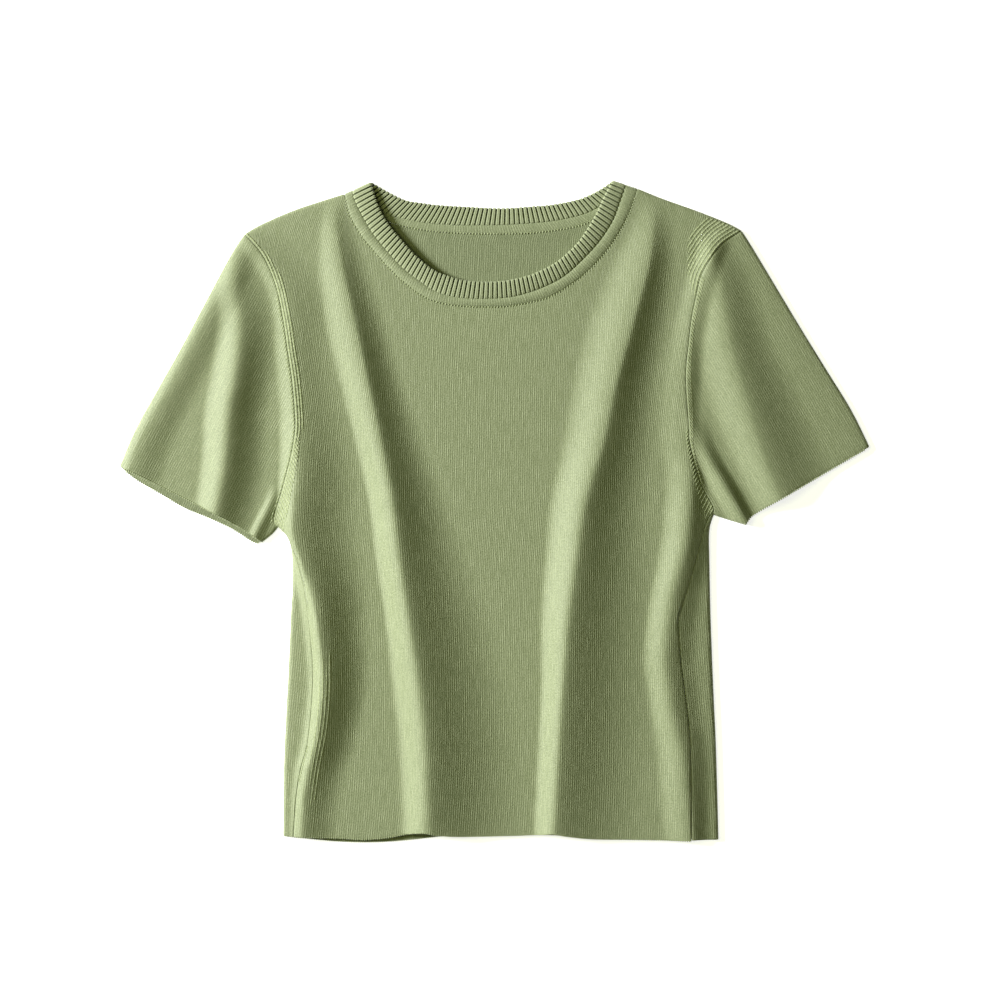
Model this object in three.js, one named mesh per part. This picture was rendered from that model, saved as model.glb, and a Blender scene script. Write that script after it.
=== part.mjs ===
import * as THREE from "three";

// A short-sleeved fine-knit crop top, laid flat with its front up. Millimetres.
// X runs across it, Y from hem to neck and Z up from the surface that it lies on.

// Driving sizes
const WALL = 1.5; // fabric thickness
const SEAM_GAP = 0.5; // between two pieces that are sewn together
const EDGE_ROUND = 1.6; // half width of the turn at a folded edge
const EDGE_LOFT = 2.4; // upper layer over lower layer beside a folded edge
const VALLEY_LOFT = 0.8; // added to that well inside the outline
const LOFT_REACH = 5; // distance over which it is added
const COLLAR_LIFT = 2.2; // how far the free edge of the collar stands up at the front
const BAND_LIFT = 0.4 * COLLAR_LIFT; // and the edge between its rib and its band
const LIFT_REACH = 12; // distance from the neck point over which it rises
const RIB_HEIGHT = 0.6;
const FRONT_RIBS = 79;
const BACK_RIBS = 58;
const SHOULDER_TURN = 15; // the front runs this far over the shoulder to its seam
const UNDERARM_GAP = 0.6; // added to half a seam's gap where the sleeve comes in
const UNDERARM_REACH = 3; // distance over which it is added
const UNDERARM_LEFT = -10; // Y of the underarm points
const UNDERARM_RIGHT = -1;
const HEM_Y = -242; // about where the hem lies
const CHEST_Y = 140; // a height that every column of a panel crosses
const ARMHOLE_LENGTH = 230; // along the armhole, for the spacing near its ends
const NECK_HALF = 112; // half width of the neck opening, band included
const FLAP_HALF = 80; // a shoulder flap ends at the neck outside this

// Folded edges of the flat garment, counter-clockwise, as points [x, y]
const FOLDED_EDGES = {
  sideRight: [[167, -252], [165, -178], [163, -133], [161, -81], [160, -36], [160, -13], [163.5, -1]],
  sleeveLowRight: [[163.5, -1], [175, -5], [188, -9]],
  sleeveTopRight: [[280, 49], [266, 77], [247.5, 107], [229, 137], [211, 167], [193, 197], [184.5, 210.5]],
  shoulderRight: [[184.5, 210.5], [173, 216.5], [149, 226], [125, 234.5], [106.5, 242]],
  collarRight: [[106.5, 242], [97.5, 245], [88.5, 248]],
  collarLeft: [[-93, 247], [-106, 241], [-112.5, 238]],
  shoulderLeft: [[-112.5, 238], [-127, 233.5], [-151, 225.5], [-175, 215], [-187, 208]],
  sleeveTopLeft: [
    [-187, 208], [-193.5, 198.5], [-203, 182], [-219, 152], [-235, 122], [-252, 92], [-268.5, 62], [-280.5, 34],
  ],
  sleeveLowLeft: [[-175, -22], [-167, -15.5], [-162.5, -10]],
  sideLeft: [[-162.5, -10], [-154, -19], [-151, -33], [-151, -58], [-152, -73], [-154, -118], [-156, -156],
    [-157.5, -193], [-158, -252]],
};

// Seams and open edges, as points [x, y]
const LINES = {
  armholeLeft: [[-162.5, -10], [-166, -5.5], [-164.5, 2], [-160.5, 12.5], [-157, 25], [-153, 39], [-150, 54],
    [-149, 69], [-151.5, 99], [-155, 122], [-158, 143], [-163, 167], [-170, 185.5], [-177, 197], [-187, 208]],
  armholeRight: [[163.5, -1], [163, 5.5], [154.5, 20], [149, 37], [145.5, 54], [145, 63], [143, 92], [143, 109],
    [145, 128], [147, 145], [151, 164], [154, 176.5], [160.5, 188.5], [170, 201], [184.5, 210.5]],
  sideSeamLeft: [[-151.5, -252], [-149, -216], [-145.5, -193], [-140, -171], [-136.5, -133], [-137, -103],
    [-142, -58], [-147, -36], [-150.5, -27], [-152.8, -20], [-157, -14], [-161.5, -10]],
  sideSeamRight: [[147, -252], [146, -176], [142.5, -138], [139, -111], [137, -83], [139.5, -71], [145.5, -51],
    [149, -38], [154.5, -19], [158.5, -7], [162.3, -1]],
  frontHem: [[-170, -242], [-151.5, -242.5], [-116, -244], [-98, -245], [-80, -243.5], [-62, -240], [-52, -239],
    [-43, -240.5], [-26, -242], [10, -242], [34, -241], [43, -239.5], [50, -241], [73, -244], [109, -245],
    [147, -245.5], [170, -245.5]],
  backHem: [[-170, -242], [-158, -242.5], [-134, -245], [-116, -246.5], [-98, -247], [-80, -246.5], [-62, -245],
    [-44, -243], [-26, -241], [10, -240.5], [46, -242], [73, -243], [109, -243.5], [167, -245], [175, -245]],
  sleeveHemLeftFront: [[-175, -22], [-183, -16], [-197, -7.5], [-215, 2], [-233, 11], [-251, 20], [-269, 29],
    [-280.5, 34]],
  sleeveHemLeftBack: [[-175, -22], [-181, -22], [-197, -12], [-215, -3.5], [-233, 4], [-251, 14.5], [-269, 25],
    [-280.5, 34]],
  sleeveHemRightFront: [[188, -9], [193, -2], [221, 14.5], [251, 32], [280, 49]],
  sleeveHemRightBack: [[188, -9], [194, -1], [221, 15.5], [251, 33], [280, 49]],
  // The collar from its left to its right neck point: free edge, edge of the rib, edge of the band
  freeFront: [[-93, 247], [-92, 242.5], [-87, 228], [-80, 215.5], [-68, 201], [-58.5, 191], [-46, 181], [-34, 176],
    [-22.5, 173], [-2, 172], [15, 174], [29, 178], [46.5, 187], [61, 200], [69, 211], [76.5, 224], [82, 236],
    [88.5, 248]],
  ribFront: [[-106, 241], [-105.5, 236], [-100, 224], [-91.5, 209.5], [-80, 195], [-68, 182.5], [-57, 174],
    [-44, 165.5], [-28.5, 161], [-8, 160], [9, 161], [23, 164], [39, 170], [53, 178], [66, 190], [78, 203],
    [88, 218.5], [94, 234.5], [97.5, 245]],
  bandFront: [[-112.5, 238], [-109, 223], [-100, 207], [-90, 195], [-76, 179.5], [-61.5, 167], [-49, 159.5],
    [-34, 155.5], [-16, 154], [6, 154], [23, 156.5], [40.5, 161], [58, 171], [72, 182.5], [85, 197],
    [95, 212.5], [102, 227], [106.5, 242]],
  freeBack: [[-93, 247], [-79, 239], [-67, 233.5], [-55, 231.5], [-43, 230], [-19, 228.5], [5, 227.5], [29, 229],
    [41, 230], [53, 232], [65, 235], [77, 240.5], [88.5, 248]],
  ribBack: [[-106, 241], [-94, 230.5], [-80, 223], [-65, 219.5], [-49, 217], [-28.5, 215.5], [-2, 215.5],
    [20, 216.5], [42, 218.5], [64, 223], [79, 230], [97.5, 245]],
  bandBack: [[-112.5, 238], [-97.5, 226], [-80, 218], [-66, 214], [-44, 210.5], [-17, 209], [20, 209], [42, 211],
    [64, 215], [82.5, 224], [106.5, 242]],
};

// Soft folds of the upper layer, a row for each section: y, x of the crest, height, and the widths of
// its left and right flanks. Early is below 1 where the right flank drops most just after the crest.
const FOLDS = [
  {
    name: "main fold, left", early: 0.85, rows: [
      [236, -116, 0, 12, 13], [224, -119, 1, 12, 13], [189, -115, 5, 19, 20], [144, -105, 8, 25, 26],
      [99, -95, 9, 24, 27], [54, -85, 10.5, 22, 32], [9, -76, 12.5, 21, 38], [-36, -70, 14, 19, 48],
      [-81, -63, 15.5, 18, 57], [-126, -56, 16, 21, 62], [-171, -51, 15.5, 22, 64], [-216, -49.5, 14, 22, 63],
      [-246, -49, 12, 21, 60],
    ],
  },
  {
    name: "main fold, right", early: 0.8, rows: [
      [236, 116, 0, 15, 15], [224, 119, 1, 15, 15], [189, 115.5, 6, 30, 23], [144, 103.5, 9, 37, 32],
      [99, 91, 10.5, 35, 36], [54, 81, 12, 33, 44], [9, 68, 14, 30, 51], [-36, 61, 15.5, 27, 59],
      [-81, 55, 16, 27, 65], [-126, 51, 16, 31, 68], [-171, 49, 15.5, 32, 68], [-246, 46, 12.5, 33, 65],
    ],
  },
  {
    name: "roll beside the left armhole and side seam", early: 0.8, rows: [
      [214, -186, 0, 15, 30], [208, -184, 1, 15, 30], [167, -157.5, 3.5, 15, 34], [122, -151.5, 4, 15, 30],
      [77, -148, 5.5, 15, 38], [32, -147, 9, 15, 45], [-13, -150.5, 12.5, 13, 63], [-36, -144, 14.5, 12, 63],
      [-58, -136.5, 15.5, 12, 61], [-81, -132, 16, 11, 57], [-126, -128, 16, 10, 50], [-171, -133, 12.5, 10, 40],
      [-193, -139, 10, 10, 39], [-216, -142.5, 8, 10, 34], [-246, -144, 5, 10, 27],
    ],
  },
  {
    name: "ridge beside the right armhole and side seam", early: 1, rows: [
      [215, 172, 0, 12, 12], [208, 170, 1, 12, 12], [189, 160, 3, 14, 12], [144, 149, 3, 16, 12],
      [99, 144, 2.5, 20, 12], [54, 143, 3, 22, 12], [27, 145.5, 5, 20, 14], [-16, 143, 9, 20, 18],
      [-37, 139, 10, 18, 20], [-66, 132, 10.5, 16, 20], [-109, 127.5, 10.5, 15, 21], [-131, 130, 10.5, 16, 22],
      [-151, 133, 10, 20, 22], [-176, 139, 9, 24, 21], [-207, 142.5, 8, 27, 18], [-246, 146, 6, 27, 15],
    ],
  },
  {
    name: "fold of the left sleeve", early: 1, rows: [
      [197, -196, 0, 12, 13], [167, -193.5, 5, 16, 20], [144, -190.5, 6.5, 21, 25], [122, -191, 7.5, 25, 28],
      [99, -194, 8.5, 27, 30], [77, -198, 9, 28, 30], [32, -202, 9, 25, 33], [-21, -212, 7, 22, 30],
    ],
  },
  {
    name: "rounded upper edge of the left sleeve", early: 1, rows: [
      [208, -187, 0, 9, 18], [197, -189, 1.5, 9, 18], [144, -217.5, 4, 9, 22], [99, -241, 5, 9, 28],
      [54, -265, 6, 9, 34], [9, -281, 6, 9, 37],
    ],
  },
  {
    name: "fold of the right sleeve", early: 0.85, rows: [
      [212, 158, 0, 12, 18], [204, 160, 1, 12, 18], [182, 166, 4, 16, 27], [144, 172, 6, 28, 37],
      [122, 175.5, 7, 31, 42], [77, 189, 9, 33, 54], [32, 205, 9, 27, 58], [-6, 221, 8, 24, 57],
    ],
  },
  {
    name: "small roll at the right underarm", early: 1, rows: [
      [77, 146, 0, 9, 13], [47, 157, 2.5, 10, 15], [17, 175, 3, 10, 15], [-13, 193, 2, 10, 13],
    ],
  },
];

// Columns of the front panel between its two side edges, x for each y; they run along the folds
const COLUMN_ROWS = [-252, -171, -103, -36, 9, 54, 99, 144, 189, 215, 242];
const FRONT_COLUMNS = [
  { name: "roll", x: [-143, -133, -128, -143, -150, -142, -143, -149, -162, -172, -175] },
  { name: "trough left", x: [-112, -104, -86, -90, -102, -112, -122, -132, -139, -141, -142] },
  { name: "main fold left", x: [-49, -51, -59.5, -70, -76, -85.5, -95.5, -105, -113, -114, -112.5] },
  { name: "foot left", x: [8, 10, 2, -22, -38, -54, -68, -79, -88, -92, -94] },
  { name: "foot right", x: [15, 20, 24, 34, 38, 48, 57, 67, 79, 84, 88] },
  { name: "main fold right", x: [46, 49, 53, 61, 68, 81, 91, 103.5, 114, 111.5, 106.5] },
  { name: "trough right", x: [112, 116, 110, 119, 119, 124, 125, 130, 140, 143, 145] },
  { name: "ridge right", x: [137, 137, 127.5, 139.5, 147, 138, 134.5, 138, 150, 163, 168] },
];
const SPANS = [3, 4, 4, 5, 12, 5, 4, 4, 3];

const clamp = THREE.MathUtils.clamp;
const lerp = THREE.MathUtils.lerp;

// A smooth line through the points of a table, as closely spaced points
function drawn(points, step = 1.5) {
  const curve = new THREE.SplineCurve(points.map(([x, y]) => new THREE.Vector2(x, y)));
  const count = Math.max(8, Math.ceil(curve.getLength() / step));
  return curve.getSpacedPoints(count);
}

const edges = Object.values(FOLDED_EDGES).map((points) => drawn(points, 4));
const line = Object.fromEntries(Object.entries({ ...LINES, ...FOLDED_EDGES }).map(([k, v]) => [k, drawn(v)]));

// Value of one axis where a drawn line reaches a value of the other
function lookup(points, from, to, value) {
  const rising = points[points.length - 1][from] > points[0][from];
  const row = rising ? points : [...points].reverse();
  if (value <= row[0][from]) return row[0][to];
  for (let i = 1; i < row.length; i += 1) {
    if (row[i][from] >= value) {
      const part = (value - row[i - 1][from]) / (row[i][from] - row[i - 1][from] || 1);
      return lerp(row[i - 1][to], row[i][to], part);
    }
  }
  return row[row.length - 1][to];
}
const xAt = (points, y) => lookup(points, "y", "x", y);
const yAt = (points, x) => lookup(points, "x", "y", x);

// Smooth value of one column of a table at a given place in its first column
function smooth(places, values, place) {
  const falling = places[0] > places[places.length - 1];
  const at = falling ? [...places].reverse() : places;
  const val = falling ? [...values].reverse() : values;
  const last = at.length - 1;
  if (place <= at[0]) return val[0];
  if (place >= at[last]) return val[last];
  let i = 0;
  while (at[i + 1] < place) i += 1;
  const slope = (k) => {
    const a = Math.max(0, k - 1);
    const b = Math.min(last, k + 1);
    return (val[b] - val[a]) / (at[b] - at[a]);
  };
  const h = at[i + 1] - at[i];
  const u = (place - at[i]) / h;
  return (2 * u ** 3 - 3 * u ** 2 + 1) * val[i] + (u ** 3 - 2 * u ** 2 + u) * h * slope(i)
    + (-2 * u ** 3 + 3 * u ** 2) * val[i + 1] + (u ** 3 - u ** 2) * h * slope(i + 1);
}

// Nearest folded edge: its distance and the direction that leads out over it
function nearestEdge(x, y) {
  let best = { distance: Infinity, out: [0, 1] };
  for (const edge of edges) {
    for (let i = 1; i < edge.length; i += 1) {
      const a = edge[i - 1];
      const b = edge[i];
      const dx = b.x - a.x;
      const dy = b.y - a.y;
      const size = Math.hypot(dx, dy);
      const t = clamp(((x - a.x) * dx + (y - a.y) * dy) / (size * size), 0, 1);
      const distance = Math.hypot(x - a.x - t * dx, y - a.y - t * dy);
      if (distance < best.distance) best = { distance, out: [dy / size, -dx / size] };
    }
  }
  return best;
}

function foldHeight(x, y) {
  let sum = 0;
  for (const fold of FOLDS) {
    const ys = fold.rows.map((row) => row[0]);
    const [crest, height, left, right] = [1, 2, 3, 4].map((k) => smooth(ys, fold.rows.map((row) => row[k]), y));
    const away = x - crest;
    const part = away < 0 ? clamp(-away / left, 0, 1) : clamp(away / right, 0, 1) ** fold.early;
    sum += Math.max(0, height) * 0.5 * (1 + Math.cos(Math.PI * part));
  }
  return sum;
}

// Middle of the fabric: the upper layer, or the lower one, which lies flat and turns up at the edges
function layerHeight(x, y, upper) {
  const { distance } = nearestEdge(x, y);
  const loft = EDGE_LOFT + VALLEY_LOFT * (1 - Math.exp(-distance / LOFT_REACH)) + foldHeight(x, y);
  const inside = 1 - clamp(distance / EDGE_ROUND, 0, 1);
  const turn = Math.sqrt(1 - inside * inside);
  return WALL / 2 + (loft / 2) * (upper ? 1 + turn : 1 - turn);
}

function layerPoint(x, y, upper) {
  const place = new THREE.Vector3(x, y, layerHeight(x, y, upper));
  const { distance, out } = nearestEdge(x, y);
  const sign = upper ? 1 : -1;
  if (distance < EDGE_ROUND * 0.9) {
    const level = 1 - distance / EDGE_ROUND;
    const rise = Math.sqrt(1 - level * level);
    return { place, normal: new THREE.Vector3(out[0] * level, out[1] * level, sign * rise).normalize() };
  }
  const step = 0.4;
  const slopeX = (layerHeight(x + step, y, upper) - layerHeight(x - step, y, upper)) / (2 * step);
  const slopeY = (layerHeight(x, y + step, upper) - layerHeight(x, y - step, upper)) / (2 * step);
  return { place, normal: new THREE.Vector3(-slopeX * sign, -slopeY * sign, sign).normalize() };
}

// Gives a mesh of quads its thickness on both sides and closes its edges
class Sheet {
  constructor() {
    this.points = [];
    this.quads = [];
  }

  add(point, outside = WALL / 2, inside = WALL / 2) {
    this.points.push({ ...point, outside, inside });
    return this.points.length - 1;
  }

  // Joins a grid of point numbers; a missing point leaves a hole
  join(rows, closed = false) {
    for (let j = 1; j < rows.length; j += 1) {
      const low = rows[j - 1];
      const high = rows[j];
      const spans = closed ? low.length : low.length - 1;
      for (let i = 0; i < spans; i += 1) {
        const k = (i + 1) % low.length;
        const quad = [low[i], low[k], high[k], high[i]];
        if (quad.every((n) => n !== undefined)) this.quads.push(quad);
      }
    }
  }

  geometry() {
    const xyz = [];
    for (const p of this.points) xyz.push(...p.place.clone().addScaledVector(p.normal, p.outside).toArray());
    for (const p of this.points) xyz.push(...p.place.clone().addScaledVector(p.normal, -p.inside).toArray());
    const count = this.points.length;
    const faces = [];
    const used = new Map();
    for (const [a, b, c, d] of this.quads) {
      const place = (n) => this.points[n].place;
      const halves = place(a).distanceTo(place(c)) <= place(b).distanceTo(place(d))
        ? [[a, b, c], [a, c, d]] : [[a, b, d], [b, c, d]];
      for (const [p, q, r] of halves) {
        faces.push(p, q, r);
        faces.push(count + p, count + r, count + q);
      }
      for (const [p, q] of [[a, b], [b, c], [c, d], [d, a]]) {
        if (used.has(`${q} ${p}`)) used.delete(`${q} ${p}`);
        else used.set(`${p} ${q}`, [p, q]);
      }
    }
    for (const [p, q] of used.values()) {
      faces.push(p, count + p, count + q);
      faces.push(p, count + q, q);
    }
    const geometry = new THREE.BufferGeometry();
    geometry.setAttribute("position", new THREE.Float32BufferAttribute(xyz, 3));
    geometry.setIndex(faces);
    geometry.computeVertexNormals();
    return geometry;
  }
}

// Point at a share of a drawn line
function between(points, share) {
  const place = clamp(share, 0, 1) * (points.length - 1);
  const i = Math.min(points.length - 2, Math.floor(place));
  return points[i].clone().lerp(points[i + 1], place - i);
}

// A patch between four drawn lines: s runs along low and high, t along left and right
function patch(low, high, left, right) {
  return (s, t) => {
    const point = between(low, s).multiplyScalar(1 - t).addScaledVector(between(high, s), t);
    point.addScaledVector(between(left, t), 1 - s).addScaledVector(between(right, t), s);
    point.addScaledVector(low[0], -(1 - s) * (1 - t)).addScaledVector(low[low.length - 1], -s * (1 - t));
    point.addScaledVector(high[0], -(1 - s) * t).addScaledVector(high[high.length - 1], -s * t);
    return point;
  };
}

// Upper end of the front panel: the shoulder fold outside the collar, the band's edge inside it
function frontTop(x) {
  if (x <= LINES.bandFront[0][0]) return yAt(line.shoulderLeft, x);
  if (x >= LINES.bandFront[LINES.bandFront.length - 1][0]) return yAt(line.shoulderRight, x);
  return yAt(line.bandFront, x) - SEAM_GAP;
}

// The shoulder seam on the underside, below the shoulder fold and carried on to the neck
function shoulderSeam(x) {
  const [edge, tip, next] = x < 0
    ? [line.shoulderLeft, FOLDED_EDGES.shoulderLeft[0], FOLDED_EDGES.shoulderLeft[1]]
    : [line.shoulderRight, FOLDED_EDGES.shoulderRight[4], FOLDED_EDGES.shoulderRight[3]];
  const beyond = Math.abs(x) < Math.abs(tip[0]);
  const y = beyond ? tip[1] + ((x - tip[0]) * (next[1] - tip[1])) / (next[0] - tip[0]) : yAt(edge, x);
  return y - SHOULDER_TURN;
}

// Climbs a column from a start height to the line that ends it
function climb(column, top, from) {
  let low = from;
  while (low < top(column(low))) low += 0.5;
  let high = low;
  low -= 0.5;
  for (let i = 0; i < 20; i += 1) {
    const middle = (low + high) / 2;
    if (middle < top(column(middle))) low = middle;
    else high = middle;
  }
  return (low + high) / 2;
}

// Half of the gap at a side seam or armhole, a little more where both meet the sleeve at the underarm
const seamShift = (y, underarm) => SEAM_GAP / 2
  + UNDERARM_GAP * Math.exp(-Math.abs(y - underarm) / UNDERARM_REACH);

// Side edges of the front: the side seam up to the underarm, then the armhole
const frontEdgeLeft = (y) => xAt(y < UNDERARM_LEFT ? line.sideSeamLeft : line.armholeLeft, y)
  + seamShift(y, UNDERARM_LEFT);
const frontEdgeRight = (y) => xAt(y < UNDERARM_RIGHT ? line.sideSeamRight : line.armholeRight, y)
  - seamShift(y, UNDERARM_RIGHT);

// Rows of a panel: shares of its height below and above the underarm
const LOWER_ROWS = [0, 0.12, 0.24, 0.36, 0.48, 0.6, 0.72, 0.82, 0.9, 0.95, 0.975, 0.992];
const UPPER_ROWS = [0, 0.012, 0.024, 0.05, 0.09, 0.15, 0.23, 0.32, 0.42, 0.52, 0.62, 0.72, 0.81, 0.89, 0.955];
const END_STEPS = [3, 1.3, 0.5, 0.13, 0]; // distances from a folded edge
const NECK_STEPS = [0.033, 0.024, 0.016, 0.008, 0]; // shares of the height, at the neck
const TURN_STEPS = [0.13, 0.5, 1.3, 3, 9, SHOULDER_TURN]; // and beyond it, on the underside

const SLEEVE_ROWS = [0, 0.07, 0.17, 0.28, 0.4, 0.53, 0.66, 0.79, 0.9, 1]; // shares from armhole to hem
const BACK_COLUMNS = 18;
const SEAM_POINTS = 20; // along a shoulder seam

function frontPanel() {
  const sheet = new Sheet();
  const keys = FRONT_COLUMNS.map((column) => (y) => smooth(COLUMN_ROWS, column.x, y));
  const sides = [frontEdgeLeft, ...keys, frontEdgeRight];
  const columns = [];
  SPANS.forEach((count, k) => {
    for (let i = 0; i < count; i += 1) {
      columns.push({ at: (y) => lerp(sides[k](y), sides[k + 1](y), i / count), place: k + i / count });
    }
  });
  columns.push({ at: frontEdgeRight, place: SPANS.length });

  const grid = columns.map(({ at, place }) => {
    const underarm = lerp(UNDERARM_LEFT, UNDERARM_RIGHT, place / SPANS.length);
    let hem = HEM_Y;
    for (let i = 0; i < 4; i += 1) hem = yAt(line.frontHem, at(hem));
    const atShoulder = place <= 3 || place >= 6;
    const top = climb(at, frontTop, CHEST_Y);
    const ends = atShoulder ? END_STEPS : NECK_STEPS.map((t) => (top - underarm) * t);
    const ys = [
      ...LOWER_ROWS.map((t) => lerp(hem, underarm, t)),
      ...UPPER_ROWS.map((t) => lerp(underarm, top, t)),
      ...ends.map((d) => top - d),
    ];
    return ys.map((y) => [at(y), y]);
  });
  const rowCount = LOWER_ROWS.length + UPPER_ROWS.length + END_STEPS.length;
  const rows = [];
  for (let j = 0; j < rowCount; j += 1) {
    rows.push(grid.map((column) => sheet.add(layerPoint(column[j][0], column[j][1], true))));
  }
  sheet.join(rows);

  // Over each shoulder fold to the shoulder seam on the underside
  const fold = rows[rowCount - 1];
  const leftCount = SPANS[0] + SPANS[1] + SPANS[2];
  const rightStart = columns.length - 1 - SPANS[6] - SPANS[7] - SPANS[8];
  for (const [first, last, armhole, mirror] of [
    [0, leftCount, line.armholeLeft, 1],
    [rightStart, columns.length - 1, line.armholeRight, -1],
  ]) {
    const numbers = fold.slice(first, last + 1);
    const edge = numbers.map((n) => new THREE.Vector2(sheet.points[n].place.x, sheet.points[n].place.y));
    const outer = [...armhole].reverse().filter((p) => p.y > shoulderSeam(p.x));
    const outerLine = outer.map((p) => new THREE.Vector2(p.x + mirror * SEAM_GAP * 1.4, p.y));
    const neckLine = (mirror > 0 ? line.bandBack : [...line.bandBack].reverse())
      .filter((p) => p.x * mirror < -FLAP_HALF && p.y > shoulderSeam(p.x))
      .map((p) => new THREE.Vector2(p.x - (mirror * SEAM_GAP) / 2, p.y - SEAM_GAP / 2));
    const start = outerLine[outerLine.length - 1];
    const end = neckLine[neckLine.length - 1];
    const seam = [];
    for (let i = 0; i <= SEAM_POINTS; i += 1) {
      const x = lerp(start.x, end.x, i / SEAM_POINTS);
      seam.push(new THREE.Vector2(x, shoulderSeam(x) + SEAM_GAP / 2));
    }
    outerLine[outerLine.length - 1] = seam[0].clone();
    neckLine[neckLine.length - 1] = seam[SEAM_POINTS].clone();
    const [low, high] = mirror > 0 ? [outerLine, neckLine] : [neckLine, outerLine];
    const seamLine = mirror > 0 ? seam : [...seam].reverse();
    low[0] = edge[0].clone();
    high[0] = edge[edge.length - 1].clone();
    const flap = patch(edge, seamLine, low, high);
    const turned = [numbers];
    for (const depth of TURN_STEPS) {
      turned.push(numbers.map((_, i) => {
        const p = flap(i / (numbers.length - 1), depth / SHOULDER_TURN);
        return sheet.add(layerPoint(p.x, p.y, false));
      }));
    }
    sheet.join(turned);
  }
  return sheet;
}

// The back lies flat and turns up round both sides to the side seams on the front
function backPanel() {
  const sheet = new Sheet();
  const top = (x) => Math.min(shoulderSeam(x) - SEAM_GAP / 2,
    Math.abs(x) < NECK_HALF ? yAt(line.bandBack, x) - 2 * SEAM_GAP : Infinity);
  const turn = [1.6, 0.9, 0.4, 0.1];
  const strip = [0, 0.1, 0.4, 0.9, 2];
  const narrow = SEAM_GAP / 2;
  const flatLeft = (y) => (y <= UNDERARM_LEFT ? xAt(line.sideLeft, y) + EDGE_ROUND : frontEdgeLeft(y) + narrow);
  const flatRight = (y) => (y <= UNDERARM_RIGHT ? xAt(line.sideRight, y) - EDGE_ROUND : frontEdgeRight(y) - narrow);
  const seamEndLeft = climb(flatLeft, top, CHEST_Y);
  const seamEndRight = climb(flatRight, top, CHEST_Y);
  const columns = [];
  for (let i = 0; i <= BACK_COLUMNS; i += 1) {
    const part = i / BACK_COLUMNS;
    const at = (y) => lerp(flatLeft(y), flatRight(y), part);
    const underarm = lerp(UNDERARM_LEFT, UNDERARM_RIGHT, part);
    let hem = HEM_Y;
    for (let k = 0; k < 4; k += 1) hem = yAt(line.backHem, at(hem));
    const end = climb(at, top, CHEST_Y);
    const lower = LOWER_ROWS.map((t) => lerp(hem, underarm, t));
    const sideTop = lerp(line.armholeLeft.at(-1).y, line.armholeRight.at(-1).y, part);
    const sideEnd = lerp(seamEndLeft, seamEndRight, part);
    const rise = (sideTop - underarm) / (sideEnd - underarm);
    const upper = [...UPPER_ROWS.slice(0, -1).map((t) => t * rise), 1].map((t) => lerp(underarm, end, t));
    columns.push([...lower, ...upper].map((y) => [at(y), y]));
  }
  const rows = [];
  for (let j = 0; j < columns[0].length; j += 1) {
    const row = columns.map((column) => sheet.add(layerPoint(column[j][0], column[j][1], false)));
    const around = (edge, seam, into) => {
      const beyond = (y) => {
        const room = (xAt(seam, y) - xAt(edge, y)) * into - SEAM_GAP / 2;
        return [...strip.map((d) => Math.min(d, room * 0.8 * (d / 2))), room * 0.6, room];
      };
      const y = (into > 0 ? columns[0] : columns[BACK_COLUMNS])[j][1];
      const low = turn.slice(1).map((d) => layerPoint(xAt(edge, y) + into * d, y, false));
      const high = beyond(y).map((d) => layerPoint(xAt(edge, y) + into * d, y, true));
      return [...low, ...high].map((point) => sheet.add(point));
    };
    const leftSide = j < LOWER_ROWS.length ? around(line.sideLeft, line.sideSeamLeft, 1).reverse() : undefined;
    const rightSide = j < LOWER_ROWS.length ? around(line.sideRight, line.sideSeamRight, -1) : undefined;
    const none = Array(turn.length - 1 + strip.length + 2).fill(undefined);
    rows.push([...(leftSide ?? none), ...row, ...(rightSide ?? none)]);
  }
  rows.reverse();
  sheet.join(rows);
  return sheet;
}

// A sleeve is a flattened tube: upper layer, upper folded edge, lower layer, lower folded edge
function sleeve(armhole, front, back, low, high, out) {
  const sheet = new Sheet();
  const start = armhole.map((p) => new THREE.Vector2(p.x + out * seamShift(p.y, armhole[0].y), p.y));
  const lowEdge = [start[0], ...low.slice(1)];
  const highEdge = [start[start.length - 1], ...high.slice(1)];
  const upper = patch(start, front, lowEdge, highEdge);
  const lower = patch(start, back, lowEdge, highEdge);
  // Round the ring stand the same points of the armhole as on the panels that it is sewn to
  const [underarm, tip] = [armhole[0].y, armhole[armhole.length - 1].y];
  const heights = [
    ...UPPER_ROWS.map((part) => lerp(underarm, tip, part)),
    ...END_STEPS.map((d) => tip - d),
  ];
  const shares = heights.map((y) => {
    const i = armhole.findIndex((p, k) => k > 0 && p.y >= y);
    return (i - (armhole[i].y - y) / (armhole[i].y - armhole[i - 1].y)) / (armhole.length - 1);
  });
  shares.splice(1, 0, ...[0.13, 0.5, 1.3].map((d) => d / ARMHOLE_LENGTH));
  const under = shares.slice(1, -1).reverse();
  const ring = (t) => [
    ...shares.map((s) => [upper(s, t), true]),
    ...under.map((s) => [lower(s, t), false]),
  ].map(([p, isUpper]) => sheet.add(layerPoint(p.x, p.y, isUpper)));
  const rows = SLEEVE_ROWS.map(ring);
  if (out > 0) rows.reverse();
  sheet.join(rows, true);
  return sheet;
}

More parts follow.
